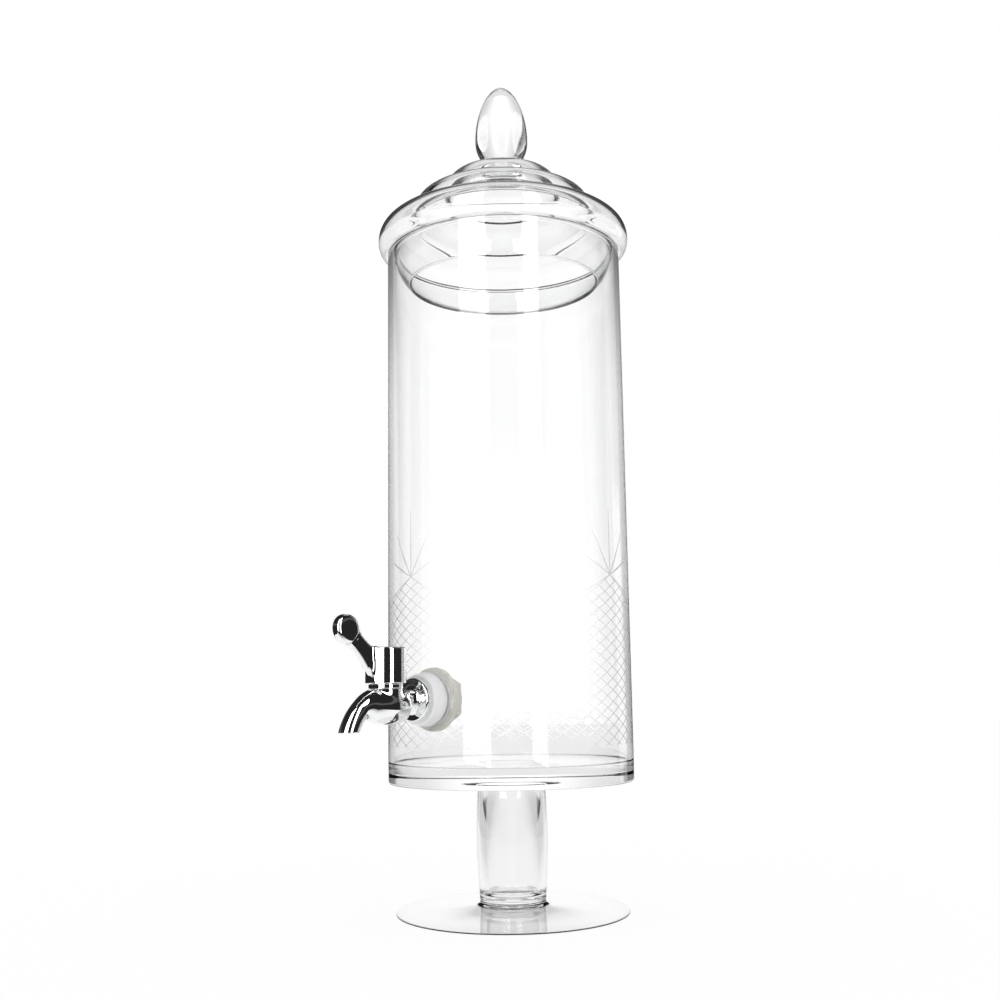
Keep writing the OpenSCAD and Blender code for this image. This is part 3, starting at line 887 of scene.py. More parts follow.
@dataclass
class CutPattern:
    """Traditional cut lattice with a fan over each repeat, as V-grooves in the jar's outer wall.

    A tip is a half width and a depth.
    """

    radius: float
    repeats: int = 7
    fan_azimuth: float = 41.7
    fan_z: float = 174.6
    fan_up: float = 34.0
    ray_out: float = 14.0
    ray_up: float = 22.5
    border_deg: float = 25.0
    border_arm: float = 27.0
    lattice_deg: float = 30.9
    lattice_lines: int = 6
    lattice_low: float = 87.0
    line_half: float = 0.5
    line_deep: float = 0.012
    ray_half: float = 1.0
    ray_deep: float = 0.03
    line_tip: Pair = (0.04, 0.003)
    ray_widest: float = 0.35
    ray_tip: Pair = (0.3, 0.02)
    arm_widest: float = 0.4
    arm_tip: Pair = (0.05, 0.006)
    taper: float = 2.5
    shortest: float = 2.5
    bare_r: float = 17.5
    samples: int = 2001

    @property
    def length(self) -> float:
        """Length of one repeat round the wall."""
        return 2 * math.pi * self.radius / self.repeats

    def border(self, along: np.ndarray) -> np.ndarray:
        """Height of the lattice's zigzag top."""
        from_fan = np.abs((along + self.length / 2) % self.length - self.length / 2)
        return self.fan_z - from_fan * math.tan(math.radians(self.border_deg))

    def fan(self) -> list[Groove]:
        """Rays of the fan and the two lines that cross under it.

        Returns:
            The grooves.
        """
        tip = self.taper / 4
        rays = [(0.0, self.fan_up), (self.ray_out, self.ray_up), (-self.ray_out, self.ray_up)]
        grooves = []
        for out, up in rays:
            ends = [
                (0.0, tip, self.ray_deep / 2),
                (self.ray_widest, self.ray_half, self.ray_deep),
                (1.0, *self.ray_tip),
            ]
            rows = [(out * t, self.fan_z + up * t, half, deep) for t, half, deep in ends]
            grooves.append(Groove(np.array(rows)))
        tangent = math.tan(math.radians(self.border_deg))
        low = self.length / 2 + self.taper
        high = self.border_arm * math.cos(math.radians(self.border_deg))
        for way in (1.0, -1.0):
            rows = []
            for out, half, deep in (
                (-low, self.line_half, self.line_deep),
                (0.0, self.line_half, self.line_deep),
                (self.arm_widest * high, self.ray_half, self.ray_deep),
                (high, *self.arm_tip),
            ):
                rows.append((way * out, self.fan_z + out * tangent, half, deep))
            grooves.append(Groove(np.array(rows)))
        return grooves

    def lattice(self, tap: Pair | None) -> list[Groove]:
        """Crossing lines under the zigzag.

        Args:
            tap: place and height of the tap's axis on this repeat, where the wall stays bare.

        Returns:
            The grooves.
        """
        tangent = math.tan(math.radians(self.lattice_deg))
        pitch = self.length * tangent / self.lattice_lines
        reach = self.length / 2 + self.taper
        along = np.linspace(-reach, reach, self.samples)
        count = math.ceil((self.fan_z - self.lattice_low + reach * tangent) / pitch) + 1
        grooves = []
        for way in (1.0, -1.0):
            for k in range(-count, count):
                height = self.fan_z + pitch * k + way * tangent * along
                kept = (height < self.border(along)) & (height > self.lattice_low)
                if tap:
                    kept &= np.hypot(along - tap[0], height - tap[1]) > self.bare_r
                edges = np.flatnonzero(np.diff(np.concatenate([[0], kept.astype(int), [0]])))
                for first, end in edges.reshape(-1, 2):
                    grooves += self._line(along[first], height[first], along[end - 1], height[end - 1])
        return grooves

    def _line(self, s0: float, z0: float, s1: float, z1: float) -> list[Groove]:
        """One lattice line, tapered where it ends on the plain wall.

        Args:
            s0: place of the first end along the wall.
            z0: its height.
            s1: place of the last end along the wall.
            z1: its height.

        Returns:
            One groove, or none where the line is too short.
        """
        size = math.hypot(s1 - s0, z1 - z0)
        if size < self.shortest * self.taper:
            return []
        inset = self.taper / size
        rows = []
        for t in (0.0, inset, 1.0 - inset, 1.0):
            s, z = s0 + (s1 - s0) * t, z0 + (z1 - z0) * t
            at_border = abs(z - self.border(np.array(s))) < self.line_half
            off_end = abs(abs(s) - self.length / 2 - self.taper) < TINY
            full = 0.0 < t < 1.0 or at_border or off_end
            rows.append((s, z, *((self.line_half, self.line_deep) if full else self.line_tip)))
        return [Groove(np.array(rows))]


@dataclass
class WallBand:
    """Upright band of the jar's wall, built on the unrolled cylinder."""

    radius: float
    low: float
    high: float
    outward: bool
    repeats: int
    columns: int
    azimuth: float
    full_cut: float = 0.012
    flat_cut: float = 0.002
    row: float = 3.0
    clear: float = 0.35
    step: float = 2.4
    merge: float = 1e-5

    @property
    def length(self) -> float:
        """Length of one repeat round the band."""
        return 2 * math.pi * self.radius / self.repeats

    def patch(self, turn: int, grooves: Sequence[Groove], hole: np.ndarray | None) -> Patch:
        """Mesh one repeat.

        Args:
            turn: which repeat, counted from the first fan.
            grooves: cuts on the unrolled wall.
            hole: loop of points on the unrolled wall whose inside stays open.

        Returns:
            A patch of triangles.
        """
        half = self.length / 2
        rows = np.linspace(self.low, self.high, round((self.high - self.low) / self.row) + 1)
        columns = np.linspace(-half, half, self.columns + 1)
        lines = [np.stack([columns, np.full_like(columns, z)], axis=1) for z in (self.low, self.high)]
        lines += [np.stack([np.full_like(rows, s), rows], axis=1) for s in (-half, half)]
        field_points = np.stack(np.meshgrid(columns[1:-1], rows[1:-1]), axis=-1).reshape(-1, 2)
        free = np.ones(len(field_points), bool)
        for groove in grooves:
            lines += groove.lines(self.step)
            free &= groove.beside(field_points) > self.clear
        if hole is not None:
            lines.append(np.concatenate([hole, hole[:1]]))
            centre = hole.mean(axis=0)
            size = np.linalg.norm(hole - centre, axis=1).max()
            free &= np.linalg.norm(field_points - centre, axis=1) > size + self.clear
        middle = (self.low + self.high) / 2
        points = [field_points[free]]
        edges = []
        count = len(points[0])
        for line in lines:
            points.append(line)
            edges += [(count + i, count + i + 1) for i in range(len(line) - 1)]
            count += len(line)
        flat = np.concatenate(points) - (0.0, middle)
        made = delaunay_2d_cdt([Vector(p) for p in flat.tolist()], edges, [], 0, self.merge)
        spots = np.array([tuple(v) for v in made[0]]) + (0.0, middle)
        faces = np.array(made[2])
        centres = spots[faces].mean(axis=1)
        kept = np.abs(centres[:, 0]) < half
        if hole is not None:
            kept &= np.linalg.norm(centres - centre, axis=1) > size * math.cos(math.pi / len(hole))
        return self._wrapped(turn, spots, faces[kept], grooves)

    def _wrapped(self, turn: int, spots: np.ndarray, faces: np.ndarray, grooves: Sequence[Groove]) -> Patch:
        """Wrap unrolled triangles round the wall, with the cuts sunk into it.

        Args:
            turn: which repeat.
            spots: points on the unrolled wall.
            faces: triangles between them.
            grooves: cuts on the unrolled wall.

        Returns:
            The patch.
        """
        depth = np.zeros(len(spots))
        for groove in grooves:
            depth = np.maximum(depth, groove.depth(spots))
        angle = math.radians(self.azimuth) + (spots[:, 0] / self.length + turn) * 2 * math.pi / self.repeats
        axis = upright()
        points = axis.placed(self.radius - depth, spots[:, 1], angle)
        way = axis.turned(np.ones(len(spots)), np.zeros(len(spots)), angle)
        normals = way[faces]
        corner = points[faces]
        flat = np.cross(corner[:, 1] - corner[:, 0], corner[:, 2] - corner[:, 0])
        flat /= np.maximum(np.linalg.norm(flat, axis=1, keepdims=True), NOUGHT)
        cut = depth[faces].max(axis=1) > self.flat_cut
        normals[cut] = flat[cut][:, None]
        if not self.outward:
            return Patch(points, faces[:, ::-1], -normals[:, ::-1])
        return Patch(points, faces, normals, np.clip(depth / self.full_cut, 0.0, 1.0))


# Glass

@dataclass
class PedestalJar:
    """Jar, stem and foot, fused into one piece of glass with a closed hollow in the stem."""

    jar_r: float
    jar_z: float
    rim_z: float
    foot_r: float
    tap_z: float
    wall: float = 2.6
    base: float = 10.5
    corner: float = 2.2
    corner_turn: float = 36.0
    floor_round: float = 0.8
    rim_round: float = 0.35
    foot_edge: float = 0.2
    foot_crown: float = 6.0
    foot_fillet: float = 2.0
    foot_t: float = 0.55
    foot_land: float = 2.5
    foot_lift: float = 0.1
    stem_foot_r: float = 17.5
    stem_top_r: float = 18.0
    stem_swell: float = 1.25
    stem_wall: float = 5.0
    stem_floor: float = 3.0
    stem_floor_round: float = 3.5
    stem_floor_turn: float = 80.0
    stem_round: float = 1.5
    stem_round_turn: float = 60.0
    stem_points: int = 65
    stem_dip: float = 0.3
    top_soft: float = 0.8
    roof_soft: float = 1.5
    hole_r: float = 8.25
    hole_points: int = 72
    band_top: float = 230.0
    columns: int = 48

    @property
    def stem_h(self) -> float:
        """Height of the stem."""
        return self.jar_z - self.foot_crown

    @property
    def wall_z(self) -> float:
        """Height at which the rounding under the jar meets its upright wall."""
        return self.jar_z + self.corner * math.sin(math.radians(self.corner_turn))

    def stem_r(self, share: np.ndarray) -> np.ndarray:
        """Radius of the stem at a share of its height."""
        taper = (self.stem_top_r - self.stem_foot_r) * share
        return self.stem_foot_r + taper + self.stem_swell * np.sin(math.pi * share)

    def stem_side(self, start: float, end: float, inset: float) -> np.ndarray:
        """Outline of the stem's side between two shares of its height."""
        share = np.linspace(start, end, self.stem_points)
        return np.stack([self.stem_r(share) - inset, self.foot_crown + self.stem_h * share], axis=1)

    def below(self) -> np.ndarray:
        """Outline from under the foot up to the jar's wall.

        Returns:
            Points as rows of radius and height.
        """
        first = self.stem_round / self.stem_h
        side = self.stem_side(first, 1.0, 0.0)
        seat_r = self.stem_foot_r + self.foot_fillet
        seat_z = self.foot_crown - self.foot_fillet
        outline = chain(
            [(0.0, seat_z - self.foot_t + self.foot_lift), (seat_r, seat_z - self.foot_t)],
            [(self.foot_r - self.foot_land, self.foot_lift)],
            arc(self.foot_r - self.foot_edge, self.foot_edge, self.foot_edge, -90, 0, 8),
            arc(self.foot_r - self.foot_edge, self.foot_t - self.foot_edge, self.foot_edge, 0, 90, 8),
            arc(seat_r, self.foot_crown, self.foot_fillet, 270, 180),
            arc(side[0, 0] - self.stem_round, side[0, 1], self.stem_round, -self.stem_round_turn, 0),
            side,
            arc(self.jar_r - self.corner, self.wall_z, self.corner, -self.corner_turn, 0),
        )
        return eased(outline, (self.stem_top_r, self.jar_z), self.top_soft)

    def rim(self) -> np.ndarray:
        """Outline over the rim, from the band outside to the band inside.

        Returns:
            Points as rows of radius and height.
        """
        inner = self.jar_r - self.wall
        high = self.rim_z - self.rim_round
        return chain(
            [(self.jar_r, self.band_top)],
            arc(self.jar_r - self.rim_round, high, self.rim_round, 0, 90),
            arc(inner + self.rim_round, high, self.rim_round, 90, 180),
            [(inner, self.band_top)],
        )

    def floor(self) -> np.ndarray:
        """Outline of the jar's floor inside.

        Returns:
            Points as rows of radius and height.
        """
        inner = self.jar_r - self.wall
        low = self.jar_z + self.base
        round_r = self.floor_round
        return chain(arc(inner - round_r, low + round_r, round_r, 0, -90, 24), [(0.0, low)])

    def hollow(self) -> np.ndarray:
        """Outline of the hollow in the stem, from its roof down to its floor.

        Returns:
            Points as rows of radius and height.
        """
        soft = self.stem_floor_round
        side = self.stem_side(1.0, (self.stem_floor + soft) / self.stem_h, self.stem_wall)
        low = self.foot_crown + self.stem_floor
        outline = chain(
            [(0.0, self.jar_z)],
            side,
            arc(side[-1, 0] - soft, low + soft, soft, 0, -self.stem_floor_turn),
            [(0.0, low - self.stem_dip)],
        )
        return eased(outline, tuple(side[0]), self.roof_soft)

    def hole(self, radius: float) -> np.ndarray:
        """Points of the tap's hole where it meets a wall of some radius.

        Args:
            radius: radius of the wall.

        Returns:
            A loop of points in the part's frame.
        """
        angle = np.arange(self.hole_points) * (2 * math.pi / self.hole_points)
        x = self.hole_r * np.cos(angle)
        return np.stack([x, -np.sqrt(radius**2 - x**2), self.tap_z + self.hole_r * np.sin(angle)], axis=1)

    def hole_wall(self, outer: float, inner: float) -> Patch:
        """Bore through the glass for the tap.

        Args:
            outer: radius of the jar's outer wall.
            inner: radius of its inner wall.

        Returns:
            A patch of quads.
        """
        rings = [self.hole(outer + (inner - outer) * t) for t in (0.0, 0.5, 1.0)]
        points = np.concatenate(rings)
        count = len(rings[0])
        column = np.arange(count)
        beside = (column + 1) % count
        faces = []
        for row in range(len(rings) - 1):
            at = row * count
            ring = [at + column, at + count + column, at + count + beside, at + beside]
            faces.append(np.stack(ring, axis=1))
        faces = np.concatenate(faces)
        axis_way = points * (1.0, 0.0, 1.0) - (0.0, 0.0, self.tap_z)
        normals = -axis_way / self.hole_r
        return Patch(points, faces[:, ::-1], normals[faces[:, ::-1]])

    def build(self) -> Piece:
        """Build the fused glass piece.

        Returns:
            The piece.
        """
        pattern = CutPattern(self.jar_r)
        inner_r = self.jar_r - self.wall
        segments = self.columns * pattern.repeats
        start = pattern.fan_azimuth
        surface = Surface()
        for outline in (self.below(), self.rim(), self.floor(), self.hollow()):
            surface.add(spin(outline, upright(), segments, start + 180.0 / pattern.repeats))
        common = (pattern.repeats, self.columns, start)
        outer = WallBand(self.jar_r, self.wall_z, self.band_top, True, *common)
        inner = WallBand(inner_r, self.jar_z + self.base + self.floor_round, self.band_top, False, *common)
        repeat = 360.0 / pattern.repeats
        tap_turn = round(-start / repeat)
        plain = pattern.fan() + pattern.lattice(None)
        for turn in range(tap_turn, tap_turn + pattern.repeats):
            off = math.radians(-start - repeat * turn)
            for band in (outer, inner):
                loop = None
                grooves = plain if band is outer else []
                if turn == tap_turn:
                    ring = self.hole(band.radius)
                    along = (np.arctan2(ring[:, 0], -ring[:, 1]) + off) * band.radius
                    loop = np.stack([along, ring[:, 2]], axis=1)
                    if band is outer:
                        grooves = pattern.fan() + pattern.lattice((off * band.radius, self.tap_z))
                surface.add(band.patch(turn, grooves, loop))
        surface.add(self.hole_wall(self.jar_r, inner_r))
        return surface.piece("pedestal_jar")


@dataclass
class GlassLid:
    """Hollow stepped lid with its egg finial, fused into one piece of glass.

    rim_z, top_z and tip_z are in the part's frame, belly_z is above the lid's top and the others are
    above the jar's rim.
    """

    rim_z: float
    brim_r: float
    top_z: float
    tip_z: float
    finial_r: float
    wall: float = 1.6
    seat_in_r: float = 61.7
    seat_out_r: float = 66.3
    seat_gap: float = 0.3
    brim_z: float = 7.3
    brim_in_r: float = 54.2
    brim_top_z: float = 21.2
    mid_r: float = 51.0
    mid_in_r: float = 41.8
    mid_top_z: float = 35.5
    upper_r: float = 32.8
    upper_in_r: float = 16.4
    groove: float = 2.2
    brim_power: float = 0.89
    tier_power: float = 0.78
    collar_in: float = 7.5
    collar_depth: float = 17.7
    collar_start: float = -1.5
    collar_turn: float = 60.0
    collar_points: int = 33
    lip: float = 1.8
    trough_round: float = 3.6
    step_soft: float = 4.5
    neck_r: float = 8.0
    flare: float = 2.0
    belly_z: float = 19.4
    under: float = 17.4
    egg_power: float = 1.16
    egg_steps: int = 64
    segments: int = 336

    @property
    def crown_z(self) -> float:
        """Height of the lid's top above the rim."""
        return self.top_z - self.rim_z

    def collar(self, inset: float) -> np.ndarray:
        """One face of the collar, from just under the seat down to its lip.

        Args:
            inset: how far in the face lies at the seat.

        Returns:
            Points as rows of radius and height.
        """
        angle = np.radians(np.linspace(0.0, self.collar_turn, self.collar_points))
        turn = math.radians(self.collar_turn)
        fall = np.sin(angle) / math.sin(turn)
        radius = self.seat_in_r - self.collar_in * (1 - np.cos(angle)) / (1 - math.cos(turn))
        radius = radius - inset * (1 - fall * (1 - self.lip / self.wall))
        drop = self.collar_depth + self.collar_start - self.lip / 2
        return np.stack([radius, self.collar_start - drop * fall], axis=1)

    def inside(self) -> np.ndarray:
        """Outline of the hollow, from its roof down to the collar's lip.

        Returns:
            Points as rows of radius and height.
        """
        w = self.wall
        bend = self.trough_round
        trough_z = self.seat_gap + w
        trough_r = self.seat_in_r - w + bend
        outline = chain(
            [(0.0, self.crown_z - w)],
            shoulder(
                self.upper_r - w, self.mid_top_z - w, self.upper_in_r, self.crown_z - w, self.tier_power
            )[::-1],
            shoulder(
                self.mid_r - w, self.brim_top_z - w, self.mid_in_r, self.mid_top_z - w, self.tier_power
            )[::-1],
            shoulder(
                self.brim_r - w, self.brim_z, self.brim_in_r, self.brim_top_z - w, self.brim_power
            )[::-1],
            oval(trough_r, self.brim_z, self.brim_r - w - trough_r, self.brim_z - trough_z, 0, -90),
            arc(trough_r, trough_z - bend, bend, 90, 180),
            self.collar(w),
        )
        outline = eased(outline, (self.upper_r - w, self.mid_top_z - w), self.step_soft)
        return eased(outline, (self.mid_r - w, self.brim_top_z - w), self.step_soft)

    def outside(self) -> np.ndarray:
        """Outline from the collar's lip over the brim and tiers to the lid's flat top.

        Returns:
            Points as rows of radius and height.
        """
        half = self.lip / 2
        lip_r = self.seat_in_r - self.collar_in - half
        g = self.groove
        return chain(
            arc(lip_r, half - self.collar_depth, half, 180, 360),
            self.collar(0.0)[::-1],
            [(self.seat_in_r, self.seat_gap)],
            oval(
                self.seat_out_r, self.brim_z, self.brim_r - self.seat_out_r, self.brim_z - self.seat_gap,
                -90, 0,
            ),
            shoulder(self.brim_r, self.brim_z, self.brim_in_r, self.brim_top_z, self.brim_power),
            arc(self.mid_r + g, self.brim_top_z + g, g, 270, 180),
            shoulder(self.mid_r, self.brim_top_z + g, self.mid_in_r, self.mid_top_z, self.tier_power),
            arc(self.upper_r + g, self.mid_top_z + g, g, 270, 180),
            shoulder(self.upper_r, self.mid_top_z + g, self.upper_in_r, self.crown_z, self.tier_power),
        )

    def finial(self) -> np.ndarray:
        """Outline of the finial's foot, neck and egg, above the lid's top.

        Returns:
            Points as rows of radius and height.
        """
        below = math.degrees(math.acos(self.neck_r / self.finial_r))
        tip = self.tip_z - self.top_z - self.belly_z
        egg = shoulder(self.finial_r, 0.0, 0.0, tip, 1.0, self.egg_steps)
        egg[:, 0] = self.finial_r * np.clip(egg[:, 0] / self.finial_r, 0.0, 1.0) ** self.egg_power
        return chain(
            arc(self.neck_r + self.flare, self.flare, self.flare, 270, 180),
            oval(0.0, self.belly_z, self.finial_r, self.under, -below, 0),
            egg + (0.0, self.belly_z),
        )

    def build(self) -> Piece:
        """Build the fused glass piece.

        Returns:
            The piece.
        """
        outline = chain(self.inside(), self.outside(), self.finial() + (0.0, self.crown_z))
        made = spin(outline, upright(z=self.rim_z), self.segments)
        return Surface().add(made).piece("glass_lid")


# Tap

@dataclass
class Tap:
    """Pieces of the tap that stay fixed to the jar. Heights are from the tap's axis."""

    jar_r: float
    wall: float
    axis_z: float
    plug_out: float
    washer_r: float = 13.6
    washer_front_r: float = 12.8
    inner_washer_r: float = 13.2
    washer_round: float = 1.0
    washer_rings: int = 12
    washer_land: float = 0.5
    inner_round: float = 0.5
    inner_rings: int = 14
    washer_segments: int = 192
    washer_crease: float = 35.0
    flange_at: float = 6.5
    flange_t: float = 5.0
    flange_r: float = 10.75
    flange_round: float = 1.2
    flange_turn: float = 60.0
    waist_at: float = 11.5
    waist_r: float = 5.8
    waist_edge: float = 0.2
    inner_face: float = -5.5
    nut_end: float = -14.0
    nut_flats: float = 26.0
    nut_flange_r: float = 16.0
    nut_flange_t: float = 2.5
    nut_round: float = 0.4
    nut_chamfer: float = 0.8
    nut_crown: Pair = (0.6, 1.2)
    nut_root: float = 0.6
    nut_root_out: float = 0.1
    nut_corner: float = 0.25
    nut_clear: float = 0.2
    nut_segments: int = 288
    nut_crease: float = 25.0
    shank_end: float = -20.0
    shank_r: float = 7.75
    thread_pitch: float = 1.5
    thread_deep: float = 0.75
    thread_start: float = 0.5
    thread_stop: float = 1.5
    thread_rows: int = 12
    thread_slope: float = 6.0
    shank_segments: int = 96
    shank_crease: float = 50.0
    spigot_r: float = 4.3
    spigot_in: float = 6.5
    inlet_r: float = 3.2
    gap: float = 0.05
    barrel_r: float = 8.7
    barrel_drop: float = 2.9
    barrel_back: float = 10.5
    barrel_nose: float = 18.0
    neck_r: float = 8.2
    neck_up: float = 5.9
    spout_r: float = 4.85
    spout_bore_r: float = 3.7
    spout_bend: float = 25.8
    spout_top: float = 2.4
    spout_drop: float = 14.5
    chamber_r: float = 5.6
    chamber_down: float = 7.0
    skirt_r: float = 6.85
    skirt_deep: float = 1.2
    seal_pocket_r: float = 4.55
    seal_t: float = 1.8
    ring_r: float = 8.5
    ring_t: float = 2.1
    ring_round: float = 0.35
    ring_segments: int = 160
    tower_r: float = 7.45
    tower_up: float = 4.0
    lip_t: float = 2.3
    stem_r: float = 4.0
    outlet_share: float = 0.42
    barrel_soft: float = 1.2
    neck_soft: float = 1.3
    waist_soft: float = 1.1
    spout_soft: float = 2.6
    edge_soft: float = 0.35
    top_soft: float = 0.3
    bore_soft: float = 0.25
    bore_edge: float = 0.1
    guard: float = 1e-9
    room_above: float = 1.5
    cell: float = 0.42

    @property
    def axis(self) -> Axis:
        """Axis out of the jar, from its outer wall."""
        origin = np.array([0.0, -self.jar_r, self.axis_z])
        return Axis(origin, np.array([0.0, -1.0, 0.0]), np.array([1.0, 0.0, 0.0]))

    @property
    def plug(self) -> np.ndarray:
        """Where the plug's axis crosses the tap's axis."""
        return np.array([0.0, -self.jar_r - self.plug_out, self.axis_z])

    def body_field(self, points: np.ndarray) -> np.ndarray:
        """Distance to the cast body, about the plug.

        Args:
            points: places about the plug.

        Returns:
            Signed distances, less than 0 inside.
        """
        x, out, up = points[..., 0], -points[..., 1], points[..., 2]
        level = up + self.barrel_drop
        long = np.where(out > 0, self.barrel_nose, 2 * self.barrel_back)
        whole = np.sqrt((x**2 + level**2) / self.barrel_r**2 + (out / long) ** 2) + self.guard
        fall = np.sqrt((x**2 + level**2) / self.barrel_r**4 + out**2 / long**4) + self.guard
        barrel = without(whole * (whole - 1.0) / fall, out + self.barrel_back, self.barrel_soft)
        round_plug = np.hypot(x, out)
        round_tap = np.hypot(x, up)
        waist = rod(round_tap, out, self.waist_r, self.waist_at - self.plug_out, 0.0, self.waist_edge)
        neck = rod(round_plug, up, self.neck_r, -self.barrel_drop, self.neck_up, self.edge_soft)
        bend = np.hypot(out, up - self.spout_top + self.spout_bend) - self.spout_bend
        middle = np.hypot(bend, x)
        level_cut = up + self.spout_drop
        spout = without(np.maximum(middle - self.spout_r, -out), level_cut, self.edge_soft)
        shape = joined(joined(barrel, neck, self.neck_soft), waist, self.waist_soft)
        shape = joined(shape, spout, self.spout_soft)
        shape = without(shape, self.neck_up - up, self.top_soft)
        start = self.waist_at - self.plug_out
        outlet = self.outlet_share * self.spout_bend
        bores = [
            (round_plug, up, self.chamber_r, -self.chamber_down, 2 * self.neck_up),
            (round_plug, up, self.skirt_r + self.gap, self.neck_up - self.skirt_deep, 2 * self.neck_up),
            (round_tap, out, self.spigot_r + self.gap, start - 1.0, start + self.spigot_in),
            (round_tap, out, self.inlet_r, start, 0.0),
            (round_tap, out, self.seal_pocket_r, -self.chamber_r - self.seal_t, 0.0),
            (round_tap, out, self.inlet_r, 0.0, outlet),
        ]
        for bore in bores:
            shape = without(shape, rod(*bore, self.bore_edge), self.bore_soft)
        channel = np.maximum(middle - self.spout_bore_r, outlet - 1.0 - out)
        return without(shape, channel, self.bore_soft)

    def build_body(self) -> Piece:
        """Build the cast body with its spout.

        Returns:
            The piece.
        """
        out = self.spout_bend + self.spout_r + 1.0
        low = (-self.barrel_r - 1.0, -out, -self.spout_drop - 1.0)
        high = (self.barrel_r + 1.0, self.plug_out - self.waist_at + 1.0, self.neck_up + self.room_above)
        return Surface().add(cast(self.body_field, low, high, self.cell, self.plug)).piece("tap_casting")

    def build_flange(self) -> Piece:
        """Build the rounded flange against the washer.

        Returns:
            The piece.
        """
        r = self.flange_r - self.flange_round
        land = self.flange_t / 2
        bore = self.spigot_r + self.gap
        outline = chain(
            [(bore, 0.0)],
            arc(r, self.flange_round, self.flange_round, -90, 0),
            arc(r, land, self.flange_round, 0, self.flange_turn),
            oval(
                r, self.flange_t, r - self.waist_r, self.flange_t - land - self.flange_round,
                180 + self.flange_turn, 180,
            ),
            [(bore, self.flange_t), (bore, 0.0)],
        )
        return Surface().add(spin(outline + (0.0, self.flange_at), self.axis)).piece("tap_bell_flange")

    def build_bonnet(self) -> Piece:
        """Build the bonnet: the ring that shows and the tower inside the cap.

        Returns:
            The piece.
        """
        top = self.neck_up + self.ring_t
        peak = top + self.tower_up
        skirt = self.neck_up - self.skirt_deep
        soft = self.ring_round
        outline = chain(
            [(self.chamber_r, skirt), (self.skirt_r, skirt), (self.skirt_r, self.neck_up)],
            arc(self.ring_r - soft, self.neck_up + soft, soft, -90, 0, 8),
            arc(self.ring_r - soft, top - soft, soft, 0, 90, 8),
            [(self.tower_r, top), (self.tower_r, peak), (self.stem_r + self.gap, peak)],
            [(self.stem_r + self.gap, peak - self.lip_t), (self.chamber_r, peak - self.lip_t)],
            [(self.chamber_r, skirt)],
        )
        axis = upright(self.plug[1], self.axis_z)
        return Surface().add(spin(outline, axis, self.ring_segments)).piece("tap_bonnet")

    def build_shank(self) -> Piece:
        """Build the shank with its helical thread, spigot and bore.

        Returns:
            The piece.
        """
        low = self.shank_r - self.thread_deep
        spigot_end = self.waist_at + self.spigot_in
        first, last = self.shank_end + self.thread_start, self.flange_at - self.thread_stop
        rows = np.arange(first, last, self.thread_pitch / self.thread_rows)
        outline = chain(
            [(self.inlet_r, self.shank_end), (low, self.shank_end)],
            np.stack([np.full_like(rows, low), rows], axis=1),
            [(low, self.flange_at), (self.spigot_r, self.flange_at), (self.spigot_r, spigot_end)],
            [(self.inlet_r, spigot_end), (self.inlet_r, self.shank_end)],
        )

        def thread(radius: np.ndarray, height: np.ndarray, angle: np.ndarray) -> tuple:
            """Raise a rounded ridge along a helix.

            Args:
                radius: radius of each point.
                height: height along the axis.
                angle: angle in radians.

            Returns:
                Radius and height after the bend.
            """
            ramp = np.clip(np.minimum(height - rows[0], rows[-1] - height) / self.thread_pitch, 0.0, 1.0)
            wave = (height / self.thread_pitch - angle / (2 * math.pi)) % 1.0
            ridge = np.clip(2.0 - np.abs(wave - 0.5) * self.thread_slope, 0.0, 1.0)
            on_side = np.abs(radius - low) < TINY
            return radius + np.where(on_side, self.thread_deep * ridge * ramp, 0.0), height

        made = spin(outline, self.axis, self.shank_segments, bend=thread)
        return Surface().add(made).piece("tap_shank_threaded", self.shank_crease)

    def saddle(self, wall_r: float, face: float) -> Bend:
        """Make the bend that lays a washer's flat face on one wall of the jar.

        Args:
            wall_r: radius of the wall.
            face: height of the flat face.

        Returns:
            The bend.
        """

        def laid(radius: np.ndarray, height: np.ndarray, angle: np.ndarray) -> tuple:
            """Lay the face on the wall.

            Args:
                radius: radius of each point.
                height: height along the axis.
                angle: angle in radians.

            Returns:
                Radius and height after the bend.
            """
            x = radius * np.cos(angle)
            seat = np.sqrt(wall_r**2 - x**2) - self.jar_r
            return radius, np.where(height == face, seat, height)

        return laid

    def build_outer_washer(self) -> Piece:
        """Build the tapered washer, its back curved to the jar.

        Returns:
            The piece.
        """
        lean = math.degrees(math.atan2(
            self.washer_r - self.washer_front_r, self.flange_at - 2 * self.washer_round
        ))
        back = -self.wall
        bore = self.shank_r + self.gap
        rings = np.linspace(bore + self.washer_land, self.washer_r, self.washer_rings)
        outline = chain(
            [(bore, back)],
            np.stack([rings, np.full_like(rings, back)], axis=1),
            arc(self.washer_r - self.washer_round, self.washer_round, self.washer_round, 0, lean),
            arc(
                self.washer_front_r - self.washer_round, self.flange_at - self.washer_round,
                self.washer_round, lean, 90,
            ),
            [(bore, self.flange_at), (bore, back)],
        )
        bend = self.saddle(self.jar_r + self.gap, back)
        made = spin(outline, self.axis, self.washer_segments, bend=bend)
        return Surface().add(made).piece("washer_outside", self.washer_crease)

    def build_inner_washer(self) -> Piece:
        """Build the washer inside the jar, its front curved to the bore.

        Returns:
            The piece.
        """
        bore = self.shank_r + self.gap
        front = 0.0
        soft = self.inner_round
        rings = np.linspace(self.inner_washer_r, bore, self.inner_rings)
        outline = chain(
            [(bore, self.inner_face)],
            arc(self.inner_washer_r - soft, self.inner_face + soft, soft, -90, 0, 6),
            np.stack([rings, np.full_like(rings, front)], axis=1),
            [(bore, self.inner_face)],
        )
        bend = self.saddle(self.jar_r - self.wall - self.gap, front)
        made = spin(outline, self.axis, self.washer_segments, bend=bend)
        return Surface().add(made).piece("washer_inside", self.washer_crease)

